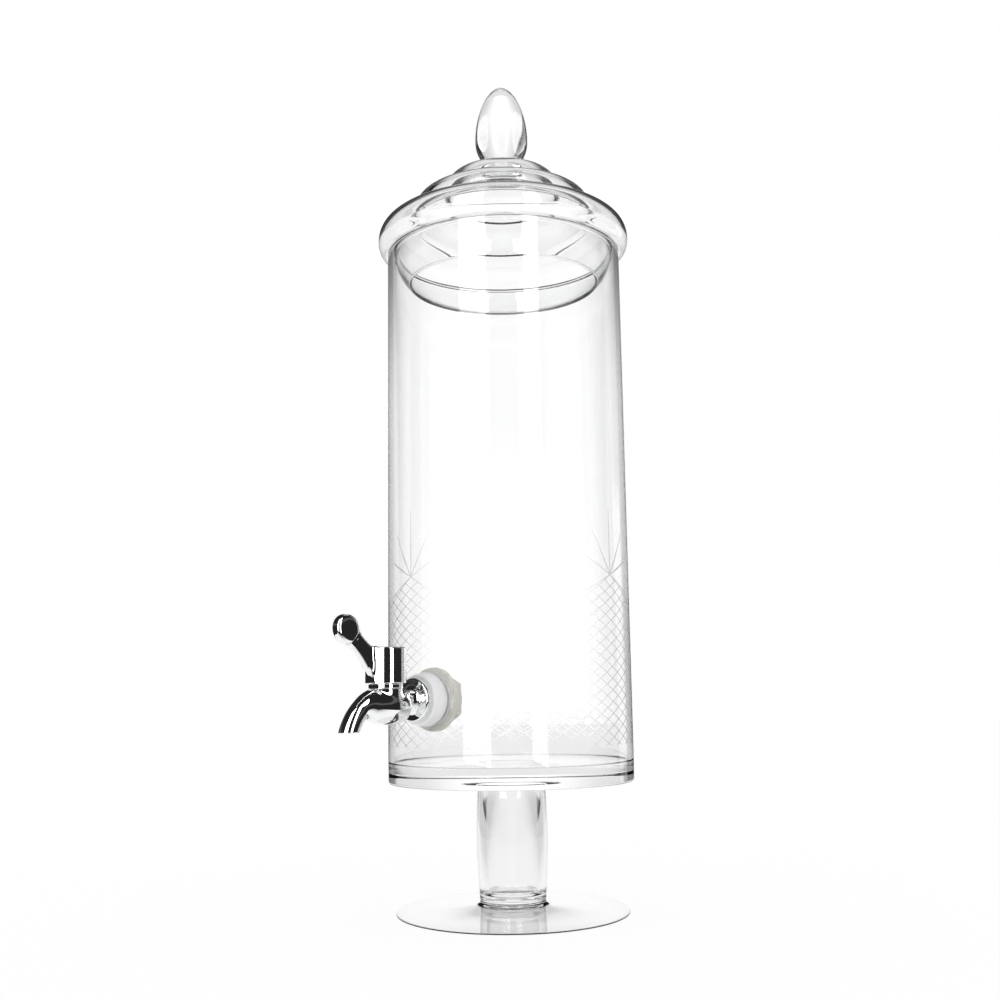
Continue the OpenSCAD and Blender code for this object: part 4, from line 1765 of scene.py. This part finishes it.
    def build_nut(self) -> Piece:
        """Build the hexagon nut with its flange.

        Returns:
            The piece.
        """
        bore = self.shank_r + self.gap
        corner_r = self.nut_flats / math.sqrt(3)
        under = self.inner_face - self.nut_flange_t
        soft = self.nut_round
        chamfer = self.nut_chamfer
        inset, drop = self.nut_crown
        outline = chain(
            [(bore, self.nut_end + chamfer), (bore + chamfer, self.nut_end)],
            [(self.nut_flats / 2 - inset, self.nut_end), (corner_r, self.nut_end + drop)],
            [(corner_r, under - self.nut_root), (corner_r + self.nut_root_out, under - self.nut_root / 2)],
            arc(self.nut_flange_r - soft, under + soft, soft, -90, 0, 6),
            arc(self.nut_flange_r - soft, self.inner_face - soft, soft, 0, 90, 6),
            [(bore, self.inner_face), (bore, self.nut_end + chamfer)],
        )

        def hexagon(radius: np.ndarray, height: np.ndarray, angle: np.ndarray) -> tuple:
            """Plane six flats on the nut above its flange.

            Args:
                radius: radius of each point.
                height: height along the axis.
                angle: angle in radians.

            Returns:
                Radius and height after the bend.
            """
            sixth = math.pi / 3
            off = (angle + sixth / 2) % sixth - sixth / 2
            flat = self.nut_flats / 2 / np.cos(off)
            planed = np.minimum(radius, np.minimum(flat, corner_r - self.nut_corner))
            return np.where(height < under - self.nut_clear, planed, radius), height

        made = spin(outline, self.axis, self.nut_segments, bend=hexagon)
        return Surface().add(made).piece("hex_lock_nut", self.nut_crease)


@dataclass
class Lever:
    """Pieces of the tap that turn: the cap with its arm, the knob and the cover disc.

    Heights are from the tap's axis.
    """

    plug: np.ndarray
    cap_r: float = 10.05
    cap_low: float = 8.3
    cap_high: float = 25.8
    cap_round: float = 1.0
    skirt_r: float = 8.05
    socket_z: float = 12.3
    stem_r: float = 4.05
    stem_flat: float = 3.05
    web_z: float = 19.6
    head_z: float = 21.3
    head_r: float = 2.85
    screw_r: float = 1.55
    cover_r: float = 6.0
    cover_t: float = 1.4
    cover_round: float = 0.3
    cover_segments: int = 160
    gap: float = 0.05
    arm_z: float = 19.5
    arm_rise: float = 42.0
    arm_l: float = 21.5
    root_r: float = 5.4
    waist_r: float = 4.1
    tip_r: float = 4.9
    arm_flat: float = 0.42
    square: float = 5.5
    knob_square: float = 4.0
    waist_share: float = 0.6
    stud_r: float = 2.0
    stud_l: float = 5.0
    knob_r: float = 6.9
    knob_half: float = 7.6
    knob_thick: float = 3.1
    cap_edge: float = 0.4
    arm_root: float = 8.0
    arm_soft: float = 2.2
    cut_soft: float = 0.2
    bore_edge: float = 0.1
    seat_soft: float = 0.3
    knob_cell: float = 0.3
    cell: float = 0.42

    @property
    def knob_seat(self) -> float:
        """How far behind the knob's centre the arm ends."""
        return self.knob_half * math.sqrt(1 - ((self.tip_r + self.gap) / self.knob_r) ** 2)

    @property
    def arm_axis(self) -> Axis:
        """Axis of the arm, from the cap's side.

        Returns:
            The axis.
        """
        rise = math.radians(self.arm_rise)
        origin = self.plug + (0.0, -self.cap_r, self.arm_z)
        return Axis(origin, np.array([0.0, -math.cos(rise), math.sin(rise)]), np.array([1.0, 0.0, 0.0]))

    def field(self, points: np.ndarray) -> np.ndarray:
        """Distance to the cap and its arm, about the plug.

        Args:
            points: places about the plug.

        Returns:
            Signed distances, less than 0 inside.
        """
        x, out, up = points[..., 0], -points[..., 1], points[..., 2]
        rise = math.radians(self.arm_rise)
        along = (out - self.cap_r) * math.cos(rise) + (up - self.arm_z) * math.sin(rise)
        aside = (up - self.arm_z) * math.cos(rise) - (out - self.cap_r) * math.sin(rise)
        off_arm = np.hypot(x, aside)
        power = self.square
        flat_arm = (np.abs(x / self.arm_flat) ** power + np.abs(aside) ** power + NOUGHT) ** (1 / power)
        end = self.arm_l - self.knob_seat - self.gap
        share = np.clip(along / end, 0.0, 1.0)
        before = np.clip(1 - share / self.waist_share, 0.0, 1.0) ** 2
        after = np.clip((share - self.waist_share) / (1 - self.waist_share), 0.0, 1.0) ** 2
        radius = self.waist_r + (self.root_r - self.waist_r) * before + (self.tip_r - self.waist_r) * after
        arm = without((flat_arm - radius) * self.arm_flat, end - along, self.cut_soft)
        arm = np.maximum(arm, -along - self.arm_root)
        stud = rod(off_arm, along, self.stud_r, end - 2.0, end + self.stud_l, self.cut_soft)
        off_plug = np.hypot(x, out)
        cap = rod(off_plug, up, self.cap_r, self.cap_low, self.cap_high, self.cap_edge)
        cap = np.maximum(cap, rod(
            off_plug, up, self.cap_r, self.cap_low - 4.0, self.cap_high, self.cap_round
        ))
        shape = joined(joined(cap, arm, self.arm_soft), np.minimum(arm, stud), self.cut_soft)
        over = self.cap_high + 2.0
        skirt, stem, *rest = (
            rod(off_plug, up, radius, low, high, self.bore_edge) for radius, low, high in (
                (self.skirt_r, self.cap_low - 2.0, self.socket_z),
                (self.stem_r, self.socket_z - 1.0, self.web_z),
                (self.screw_r, self.web_z - 1.0, self.head_z + 1.0),
                (self.head_r, self.head_z, over),
                (self.cover_r + self.gap, self.cap_high - self.cover_t, over),
            )
        )
        for cut in (skirt, np.maximum(stem, -out - self.stem_flat), *rest):
            shape = without(shape, cut, self.cut_soft)
        return shape

    def build_handle(self) -> Piece:
        """Build the cap and arm as one casting.

        Returns:
            The piece.
        """
        rise = math.radians(self.arm_rise)
        reach = self.arm_l - self.knob_seat + self.stud_l + 1.0
        out = self.cap_r + reach * math.cos(rise) + self.tip_r
        top = self.arm_z + reach * math.sin(rise) + self.tip_r
        low = (-self.cap_r - 1.0, -out, self.cap_low - 1.0)
        high = (self.cap_r + 1.0, self.cap_r + 1.0, top)
        return Surface().add(cast(self.field, low, high, self.cell, self.plug)).piece("lever_casting")

    def knob_field(self, points: np.ndarray) -> np.ndarray:
        """Distance to the flattened knob, about its centre.

        Args:
            points: places about the knob's centre.

        Returns:
            Signed distances, less than 0 inside.
        """
        x, out, up = points[..., 0], -points[..., 1], points[..., 2]
        rise = math.radians(self.arm_rise)
        along = out * math.cos(rise) + up * math.sin(rise)
        aside = up * math.cos(rise) - out * math.sin(rise)
        face = np.hypot(along / self.knob_half, aside / self.knob_r)
        power = self.knob_square
        size = (face**power + np.abs(x / self.knob_thick) ** power + NOUGHT) ** (1 / power)
        egg = without((size - 1.0) * self.knob_thick, along + self.knob_seat, self.seat_soft)
        bore = rod(
            np.hypot(x, aside), along, self.stud_r + self.gap, -2 * self.knob_half,
            self.stud_l + self.gap - self.knob_seat, self.bore_edge,
        )
        return without(egg, bore, self.bore_edge)

    def build_knob(self) -> Piece:
        """Build the flattened egg-shaped knob with the bore for the arm's stud.

        Returns:
            The piece.
        """
        centre = self.arm_axis.origin + self.arm_l * self.arm_axis.along
        reach = self.knob_half + 1.0
        low = (-self.knob_thick - 1.0, -reach, -reach)
        high = (self.knob_thick + 1.0, reach, reach)
        made = cast(self.knob_field, low, high, self.knob_cell, centre)
        return Surface().add(made).piece("egg_knob")

    def build_cover(self) -> Piece:
        """Build the disc over the screw.

        Returns:
            The piece.
        """
        low = self.cap_high - self.cover_t
        soft = self.cover_round
        outline = chain(
            [(0.0, low), (self.cover_r, low)],
            arc(self.cover_r - soft, self.cap_high - soft, soft, 0, 90, 8),
            [(0.0, self.cap_high)],
        )
        axis = upright(self.plug[1], self.plug[2])
        return Surface().add(spin(outline, axis, self.cover_segments)).piece("cap_cover_disc")


# Studio

@dataclass(frozen=True)
class Softbox:
    """Upright bright panel, by its two edges on the ground plan and its height, in the camera's frame."""

    name: str
    left: Pair
    right: Pair
    low: float
    high: float
    level: float


@dataclass(frozen=True)
class Backdrop:
    """Bright part of the far room, by azimuth from the camera and elevation, in degrees."""

    left: float
    right: float
    low: float
    high: float
    level: float
    soft: float


@dataclass
class Studio:
    """Camera at the photograph's place, white table and backdrop, and softboxes for the reflections.

    A rise is a span of elevation and a turn a span of azimuth, in degrees. The table's and the softboxes'
    spans are millimetres in the camera's ground plan. Levels and greys are shares of white.
    """

    azimuth: float = 40.0
    distance: float = 665.5
    camera_z: float = 118.85
    pitch: float = 8.7276
    roll: float = -0.8517
    yaw: float = -0.333
    lens: float = 43.44
    sensor: float = 36.0
    near_clip: float = 10.0
    light: float = 1.0
    dim: float = 0.02
    table_drop: float = 0.3
    table_front: float = 420.0
    table_side: float = 330.0
    table_reach: float = 3000.0
    # Span towards the camera over which mirror rays see the table turn black, a painted dark reflection.
    table_fade: Pair = (110.0, 330.0)
    # The greys below are painted shade on the table that only rays through the glass see: an even grey,
    # greyer sides, and darker patches behind and beside the jar's base slab.
    table_grey: float = 0.08
    table_side_grey: float = 0.3
    side_starts: Pair = (30.0, 200.0)
    side_ends: Pair = (1000.0, 600.0)
    base_grey: float = 0.08
    base_behind: Pair = (500.0, 800.0)
    base_end_grey: float = 0.65
    base_end_aside: Pair = (450.0, 600.0)
    base_end_behind: Pair = (800.0, 620.0)
    base_depth: float = 3.5
    shadow: float = 0.1
    box_fade: Pair = (110.0, 130.0)
    boxes: tuple[Softbox, ...] = (
        Softbox("softbox_left", (-266.0, -313.0), (-85.0, -305.0), 62.0, 640.0, 4.0),
        Softbox("softbox_right", (124.0, -388.0), (158.0, -271.0), 62.0, 640.0, 4.0),
    )
    strips: tuple[Backdrop, ...] = (
        Backdrop(120.0, 136.0, -30.0, 9.0, 1.0, 1.5),
        Backdrop(171.0, 189.0, -90.0, 45.0, 1.0, 3.0),
        Backdrop(42.0, 318.0, 12.0, 22.0, 0.1, 4.0),
    )
    edge_soft: float = 3.0
    lean_high: float = 30.0
    left_edge: float = 55.0
    left_lean: float = -0.65
    right_edge: float = 57.0
    right_lean: float = 0.15
    front_edge: float = 122.0
    side_low: float = 0.2
    side_high: float = 0.015
    side_rise: Pair = (2.0, 20.0)
    backdrop: float = 1.15
    backdrop_fall: float = 0.12
    fall_rise: Pair = (15.0, 26.0)
    grey_low: float = 0.36
    grey_high: float = 0.24
    grey_rise: Pair = (0.0, 12.0)
    grey_turn: Pair = (5.0, 34.0)
    echo_low: float = 0.75
    echo_low_rise: Pair = (13.0, 6.0)
    echo_high: float = 0.1
    echo_high_rise: Pair = (12.0, 24.0)
    echo_side: float = 0.44
    echo_side_turn: Pair = (38.0, 50.0)
    echo_side_rise: Pair = (28.0, 15.0)
    ceiling: float = 0.8
    ceiling_rise: Pair = (40.0, 60.0)
    ceiling_turn: Pair = (95.0, 125.0)
    ground: float = 0.7
    ground_rise: Pair = (1.0, -2.0)

    @property
    def turn(self) -> Matrix:
        """Turn from the camera's ground plan into the part's frame."""
        return Matrix.Rotation(math.radians(self.azimuth), 4, "Z")

    def build_camera(self) -> None:
        """Put the camera where the photograph was taken from."""
        yaw, pitch, roll = (math.radians(a) for a in (self.yaw, self.pitch, self.roll))
        ahead = Vector((math.sin(yaw) * math.cos(pitch), math.cos(yaw) * math.cos(pitch), math.sin(pitch)))
        right = Vector((math.cos(yaw), -math.sin(yaw), 0.0))
        up = right.cross(ahead)
        side = math.cos(roll) * right + math.sin(roll) * up
        top = -math.sin(roll) * right + math.cos(roll) * up
        turned = Matrix((side, top, -ahead)).transposed().to_4x4()
        turned.translation = Vector((0.0, -self.distance, self.camera_z)) * MM
        data = bpy.data.cameras.new("photo_camera")
        data.sensor_fit = "HORIZONTAL"
        data.sensor_width = self.sensor
        data.lens = self.lens
        data.clip_start = self.near_clip * MM
        camera = bpy.data.objects.new("photo_camera", data)
        camera.matrix_world = self.turn @ turned
        bpy.context.scene.collection.objects.link(camera)
        bpy.context.scene.camera = camera

    def sheet(self, name: str, corners: Sequence[Sequence[float]]) -> tuple:
        """Add a flat four-cornered sheet of the studio.

        Args:
            name: the sheet's name.
            corners: its corners in the camera's ground plan, in millimetres.

        Returns:
            The object and the empty node tree of its material.
        """
        mesh = bpy.data.meshes.new(name)
        mesh.from_pydata([Vector(corner) * MM for corner in corners], [], [(0, 1, 2, 3)])
        sheet = bpy.data.objects.new(name, mesh)
        sheet.matrix_world = self.turn
        bpy.context.scene.collection.objects.link(sheet)
        material = bpy.data.materials.new(name)
        material.use_nodes = True
        material.node_tree.nodes.clear()
        mesh.materials.append(material)
        return sheet, material.node_tree

    @staticmethod
    def ramp(tree: Tree, value: Socket, span: Pair) -> Socket:
        """Smooth step of a place over a span in millimetres."""
        return eased_step(tree, value, *(edge * MM for edge in span))

    def build_table(self) -> None:
        """Lay the pale table, white to the camera, with the object's shadow; rays through the glass see
        painted shade on it, and mirror rays see it black towards the camera as a painted dark reflection.
        """
        far, z = self.table_reach, -self.table_drop
        _, tree = self.sheet("pale_table", [(-far, -far, z), (far, -far, z), (far, far, z), (-far, far, z)])
        ray = put(tree, "ShaderNodeLightPath").outputs
        seen = calc(tree, "MAXIMUM", ray["Is Camera Ray"], ray["Is Transmission Ray"])
        seen = calc(tree, "MAXIMUM", seen, ray["Is Glossy Ray"])
        place = put(tree, "ShaderNodeTexCoord").outputs["Object"]
        axes = put(tree, "ShaderNodeSeparateXYZ", {0: place}).outputs
        behind = axes["Y"]
        aside = calc(tree, "ABSOLUTE", axes["X"])
        # Mirror rays see the table black towards the camera, a painted dark reflection.
        metal = calc(tree, "SUBTRACT", ray["Is Glossy Ray"], ray["Is Transmission Ray"])
        before = (-self.table_fade[0], -self.table_fade[1])
        mirrored = product(tree, metal, self.ramp(tree, behind, before))
        share = calc(tree, "MAXIMUM", product(tree, seen, 1.0 - self.shadow), mirrored)
        lit = put(tree, "ShaderNodeBsdfDiffuse", {"Color": (1.0, 1.0, 1.0, 1.0)})
        # Painted shade seen only through the glass: greyer sides, darker patches for the jar's base slab,
        # and an even grey.
        shade_through_glass = product(
            tree, self.ramp(tree, aside, self.side_starts), self.table_side_grey,
            self.ramp(tree, behind, self.side_ends), self.ramp(tree, aside, self.side_ends),
        )
        ends = product(
            tree, self.ramp(tree, aside, self.base_end_aside), self.ramp(tree, behind, self.base_end_behind)
        )
        middle = product(tree, self.ramp(tree, behind, self.base_behind), self.base_grey)
        slab_shade = calc(tree, "MULTIPLY_ADD", ends, self.base_end_grey, middle)
        shallow = calc(tree, "LESS_THAN", ray["Transmission Depth"], self.base_depth)
        shade_through_glass = calc(tree, "MULTIPLY_ADD", slab_shade, shallow, shade_through_glass)
        shade_through_glass = product(tree, calc(tree, "ADD", shade_through_glass, self.table_grey), ray["Is Transmission Ray"])
        level = calc(tree, "SUBTRACT", calc(tree, "SUBTRACT", 1.0, mirrored), shade_through_glass)
        white = put(tree, "ShaderNodeEmission", {"Color": (1.0, 1.0, 1.0, 1.0), "Strength": level})
        mixed = put(tree, "ShaderNodeMixShader", {0: share, 1: lit.outputs[0], 2: white.outputs[0]})
        outer = calc(tree, "GREATER_THAN", aside, self.table_side * MM)
        outer = calc(tree, "MAXIMUM", outer, calc(tree, "LESS_THAN", behind, -self.table_front * MM))
        outer = product(tree, outer, metal)
        clear = put(tree, "ShaderNodeBsdfTransparent")
        shown = put(tree, "ShaderNodeMixShader", {0: outer, 1: mixed.outputs[0], 2: clear.outputs[0]})
        put(tree, "ShaderNodeOutputMaterial", {"Surface": shown.outputs[0]})

    def build_boxes(self) -> None:
        """Hang the softboxes, which only reflections show."""
        for box in self.boxes:
            sheet, tree = self.sheet(box.name, [
                (*box.left, box.low), (*box.right, box.low), (*box.right, box.high), (*box.left, box.high),
            ])
            ray = put(tree, "ShaderNodeLightPath").outputs
            mirrored = calc(tree, "GREATER_THAN", ray["Glossy Depth"], 0.5)
            place = put(tree, "ShaderNodeTexCoord").outputs["Object"]
            height = put(tree, "ShaderNodeSeparateXYZ", {0: place}).outputs["Z"]
            outside = calc(tree, "LESS_THAN", ray["Transmission Depth"], 0.5)
            outside = calc(tree, "MAXIMUM", outside, self.ramp(tree, height, self.box_fade))
            mirrored = product(tree, mirrored, outside)
            white = put(tree, "ShaderNodeEmission", {"Color": (1.0, 1.0, 1.0, 1.0), "Strength": box.level})
            clear = put(tree, "ShaderNodeBsdfTransparent")
            inputs = {0: mirrored, 1: clear.outputs[0], 2: white.outputs[0]}
            mixed = put(tree, "ShaderNodeMixShader", inputs)
            put(tree, "ShaderNodeOutputMaterial", {"Surface": mixed.outputs[0]})
            sheet.visible_camera = False
            sheet.visible_diffuse = False
            sheet.visible_shadow = False

    def build_world(self) -> None:
        """Light the object evenly, and show the glass and chrome the backdrop and the dim room."""
        world = bpy.data.worlds.new("studio")
        world.use_nodes = True
        bpy.context.scene.world = world
        tree = world.node_tree
        tree.nodes.clear()
        way = put(tree, "ShaderNodeTexCoord").outputs["Generated"]
        turned = put(tree, "ShaderNodeVectorRotate", {
            "Vector": way, "Axis": (0.0, 0.0, 1.0), "Angle": -math.radians(self.azimuth),
        }, rotation_type="AXIS_ANGLE")
        part = put(tree, "ShaderNodeSeparateXYZ", {0: turned.outputs[0]}).outputs
        behind = calc(tree, "MULTIPLY", part["Y"], -1.0)
        azimuth = calc(tree, "DEGREES", calc(tree, "ARCTAN2", part["X"], behind))
        elevation = calc(tree, "DEGREES", calc(tree, "ARCSINE", part["Z"]))
        ray = put(tree, "ShaderNodeLightPath").outputs
        mirrored = self._mirrored(tree, azimuth, elevation)
        through = self._through(tree, azimuth, elevation)
        level = blended(tree, ray["Is Glossy Ray"], (self.light,) * 3 + (1.0,), mirrored)
        once = calc(tree, "GREATER_THAN", ray["Glossy Depth"], 0.5)
        echo = product(tree, once, calc(tree, "GREATER_THAN", behind, 0.0))
        near = product(tree, eased_step(tree, elevation, *self.echo_low_rise), self.echo_low)
        off_front = calc(tree, "ABSOLUTE", azimuth)
        beside = product(
            tree, eased_step(tree, off_front, *self.echo_side_turn), self.echo_side,
            eased_step(tree, elevation, *self.echo_side_rise),
        )
        near = calc(tree, "ADD", calc(tree, "MAXIMUM", near, beside), self.dim)
        climbed = eased_step(tree, elevation, *self.echo_high_rise)
        far = calc(tree, "MULTIPLY_ADD", climbed, self.echo_high - 1.0, 1.0)
        kept = calc(tree, "MULTIPLY_ADD", once, calc(tree, "SUBTRACT", far, 1.0), 1.0)
        through = put(
            tree, "ShaderNodeVectorMath", {0: through, "Scale": kept}, operation="SCALE"
        ).outputs[0]
        through = blended(tree, echo, through, grey(tree, near))
        overhead = product(
            tree, eased_step(tree, elevation, *self.ceiling_rise), self.ceiling,
            eased_step(tree, off_front, *self.ceiling_turn),
        )
        underfoot = product(tree, eased_step(tree, elevation, *self.ground_rise), self.ground)
        least = grey(tree, calc(tree, "MAXIMUM", overhead, underfoot))
        through = put(
            tree, "ShaderNodeVectorMath", {0: through, 1: least}, operation="MAXIMUM"
        ).outputs[0]
        level = blended(tree, ray["Is Transmission Ray"], level, through)
        level = blended(tree, ray["Is Camera Ray"], level, (1.0, 1.0, 1.0, 1.0))
        background = put(tree, "ShaderNodeBackground", {"Color": level, "Strength": 1.0})
        put(tree, "ShaderNodeOutputWorld", {"Surface": background.outputs[0]})

    def _mirrored(self, tree: Tree, azimuth: Socket, elevation: Socket) -> Socket:
        """What polished surfaces mirror: a dim room with bright strips.

        Args:
            tree: the world's node tree.
            azimuth: azimuth of the view in degrees, 0 towards the camera.
            elevation: elevation of the view in degrees.

        Returns:
            The colour that is mirrored.
        """
        round_turn = calc(tree, "FLOORED_MODULO", azimuth, 360.0)
        total: object = self.dim
        for strip in self.strips:
            inside = eased_step(tree, round_turn, strip.left - strip.soft, strip.left + strip.soft)
            before = eased_step(tree, round_turn, strip.right + strip.soft, strip.right - strip.soft)
            under = eased_step(tree, elevation, strip.high + strip.soft, strip.high - strip.soft)
            above = eased_step(tree, elevation, strip.low - strip.soft, strip.low + strip.soft)
            lit = product(tree, inside, before, under, above, strip.level)
            total = calc(tree, "MAXIMUM", total, lit)
        return grey(tree, total)

    def _through(self, tree: Tree, azimuth: Socket, elevation: Socket) -> Socket:
        """What shows through the glass: the white backdrop, dark towards the sides.

        Args:
            tree: the world's node tree.
            azimuth: azimuth of the view in degrees, 0 towards the camera.
            elevation: elevation of the view in degrees.

        Returns:
            The colour that shows.
        """
        off_back = calc(tree, "SUBTRACT", 180.0, calc(tree, "ABSOLUTE", azimuth))
        climb = calc(tree, "MINIMUM", calc(tree, "MAXIMUM", elevation, 0.0), self.lean_high)
        left = calc(tree, "MULTIPLY_ADD", climb, self.left_lean, self.left_edge)
        right = calc(tree, "MULTIPLY_ADD", climb, self.right_lean, self.right_edge)
        on_right = calc(tree, "GREATER_THAN", azimuth, 0.0)
        span = calc(tree, "SUBTRACT", right, left)
        edge = calc(tree, "MULTIPLY_ADD", on_right, span, left)
        beyond = calc(tree, "SUBTRACT", off_back, edge)
        soft = self.edge_soft
        front = eased_step(tree, off_back, self.front_edge + soft, self.front_edge - soft)
        dark = product(tree, eased_step(tree, beyond, -soft, soft), front)
        fade = eased_step(tree, elevation, *self.side_rise)
        side = calc(tree, "MULTIPLY_ADD", fade, self.side_high - self.side_low, self.side_low)
        fall = product(tree, eased_step(tree, elevation, *self.fall_rise), self.backdrop_fall)
        white = calc(tree, "SUBTRACT", self.backdrop, fall)
        climbed = eased_step(tree, elevation, *self.grey_rise)
        paler = calc(tree, "MULTIPLY_ADD", climbed, self.grey_high - self.grey_low, self.grey_low)
        paler = product(tree, paler, eased_step(tree, off_back, *self.grey_turn), front)
        white = calc(tree, "SUBTRACT", white, paler)
        drop = product(tree, dark, calc(tree, "SUBTRACT", white, side))
        return grey(tree, calc(tree, "SUBTRACT", white, drop))


def in_mm(node: str) -> tuple[Vector, Vector]:
    """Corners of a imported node, in millimetres."""
    low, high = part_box(node)
    return low / MM, high / MM


def main() -> None:
    """Load the frame, build and dress every piece, and set up the studio."""
    logging.basicConfig(level=logging.INFO, format="%(name)s: %(message)s")
    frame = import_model()
    bpy.context.scene.view_settings.view_transform = "Standard"
    effects = Effects()
    looks = {slot: finish.material(effects) for slot, finish in FINISHES.items()}

    studio = Studio()
    studio.build_camera()
    studio.build_table()
    studio.build_boxes()
    studio.build_world()

    hinge = next(joint for joint in frame["joints"] if joint["name"] == "lever_turn")
    plug_y, tap_z = (value / MM for value in hinge["pos_m"][1:])
    jar_low, jar_high = in_mm("jar")
    jar = PedestalJar(jar_high.x, jar_low.z, jar_high.z, in_mm("foot")[1].x, tap_z)
    dress(jar.build(), looks[Slot.GLASS], Body.STAND, ["jar", "stem", "foot"])

    lid_high = in_mm("lid_shell")[1]
    finial_high = in_mm("lid_finial")[1]
    lid = GlassLid(jar.rim_z, lid_high.x, lid_high.z, finial_high.z, finial_high.x)
    dress(lid.build(), looks[Slot.GLASS], Body.LID, ["lid_shell", "lid_finial"])

    tap = Tap(jar.jar_r, jar.wall, tap_z, -plug_y - jar.jar_r)
    for make, slot, node in (
        (tap.build_body, Slot.CHROME, "tap_body"),
        (tap.build_flange, Slot.CHROME, "tap_flange"),
        (tap.build_bonnet, Slot.CHROME, "bonnet"),
        (tap.build_shank, Slot.CHROME, "tap_shank"),
        (tap.build_outer_washer, Slot.SILICONE, "outer_washer"),
        (tap.build_inner_washer, Slot.SILICONE, "inner_washer"),
        (tap.build_nut, Slot.IVORY, "lock_nut"),
    ):
        dress(make(), looks[slot], Body.STAND, [node])

    lever = Lever(tap.plug)
    for make, node in (
        (lever.build_handle, "tap_handle"),
        (lever.build_knob, "lever_knob"),
        (lever.build_cover, "screw_cover"),
    ):
        dress(make(), looks[Slot.CHROME], Body.HANDLE, [node])

    for node, slot in (
        ("thrust_washer", Slot.WHITE),
        ("port_seal", Slot.SILICONE),
        ("valve_plug", Slot.WHITE),
        ("plug_o_ring_lower", Slot.RUBBER),
        ("plug_o_ring_upper", Slot.RUBBER),
        ("handle_screw", Slot.STEEL),
    ):
        mesh = frame["nodes"][node].data
        mesh.materials.clear()
        mesh.materials.append(looks[slot])
        log.info("%s keeps its packed shape", node)

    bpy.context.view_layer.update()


if __name__ == "__main__":
    main()
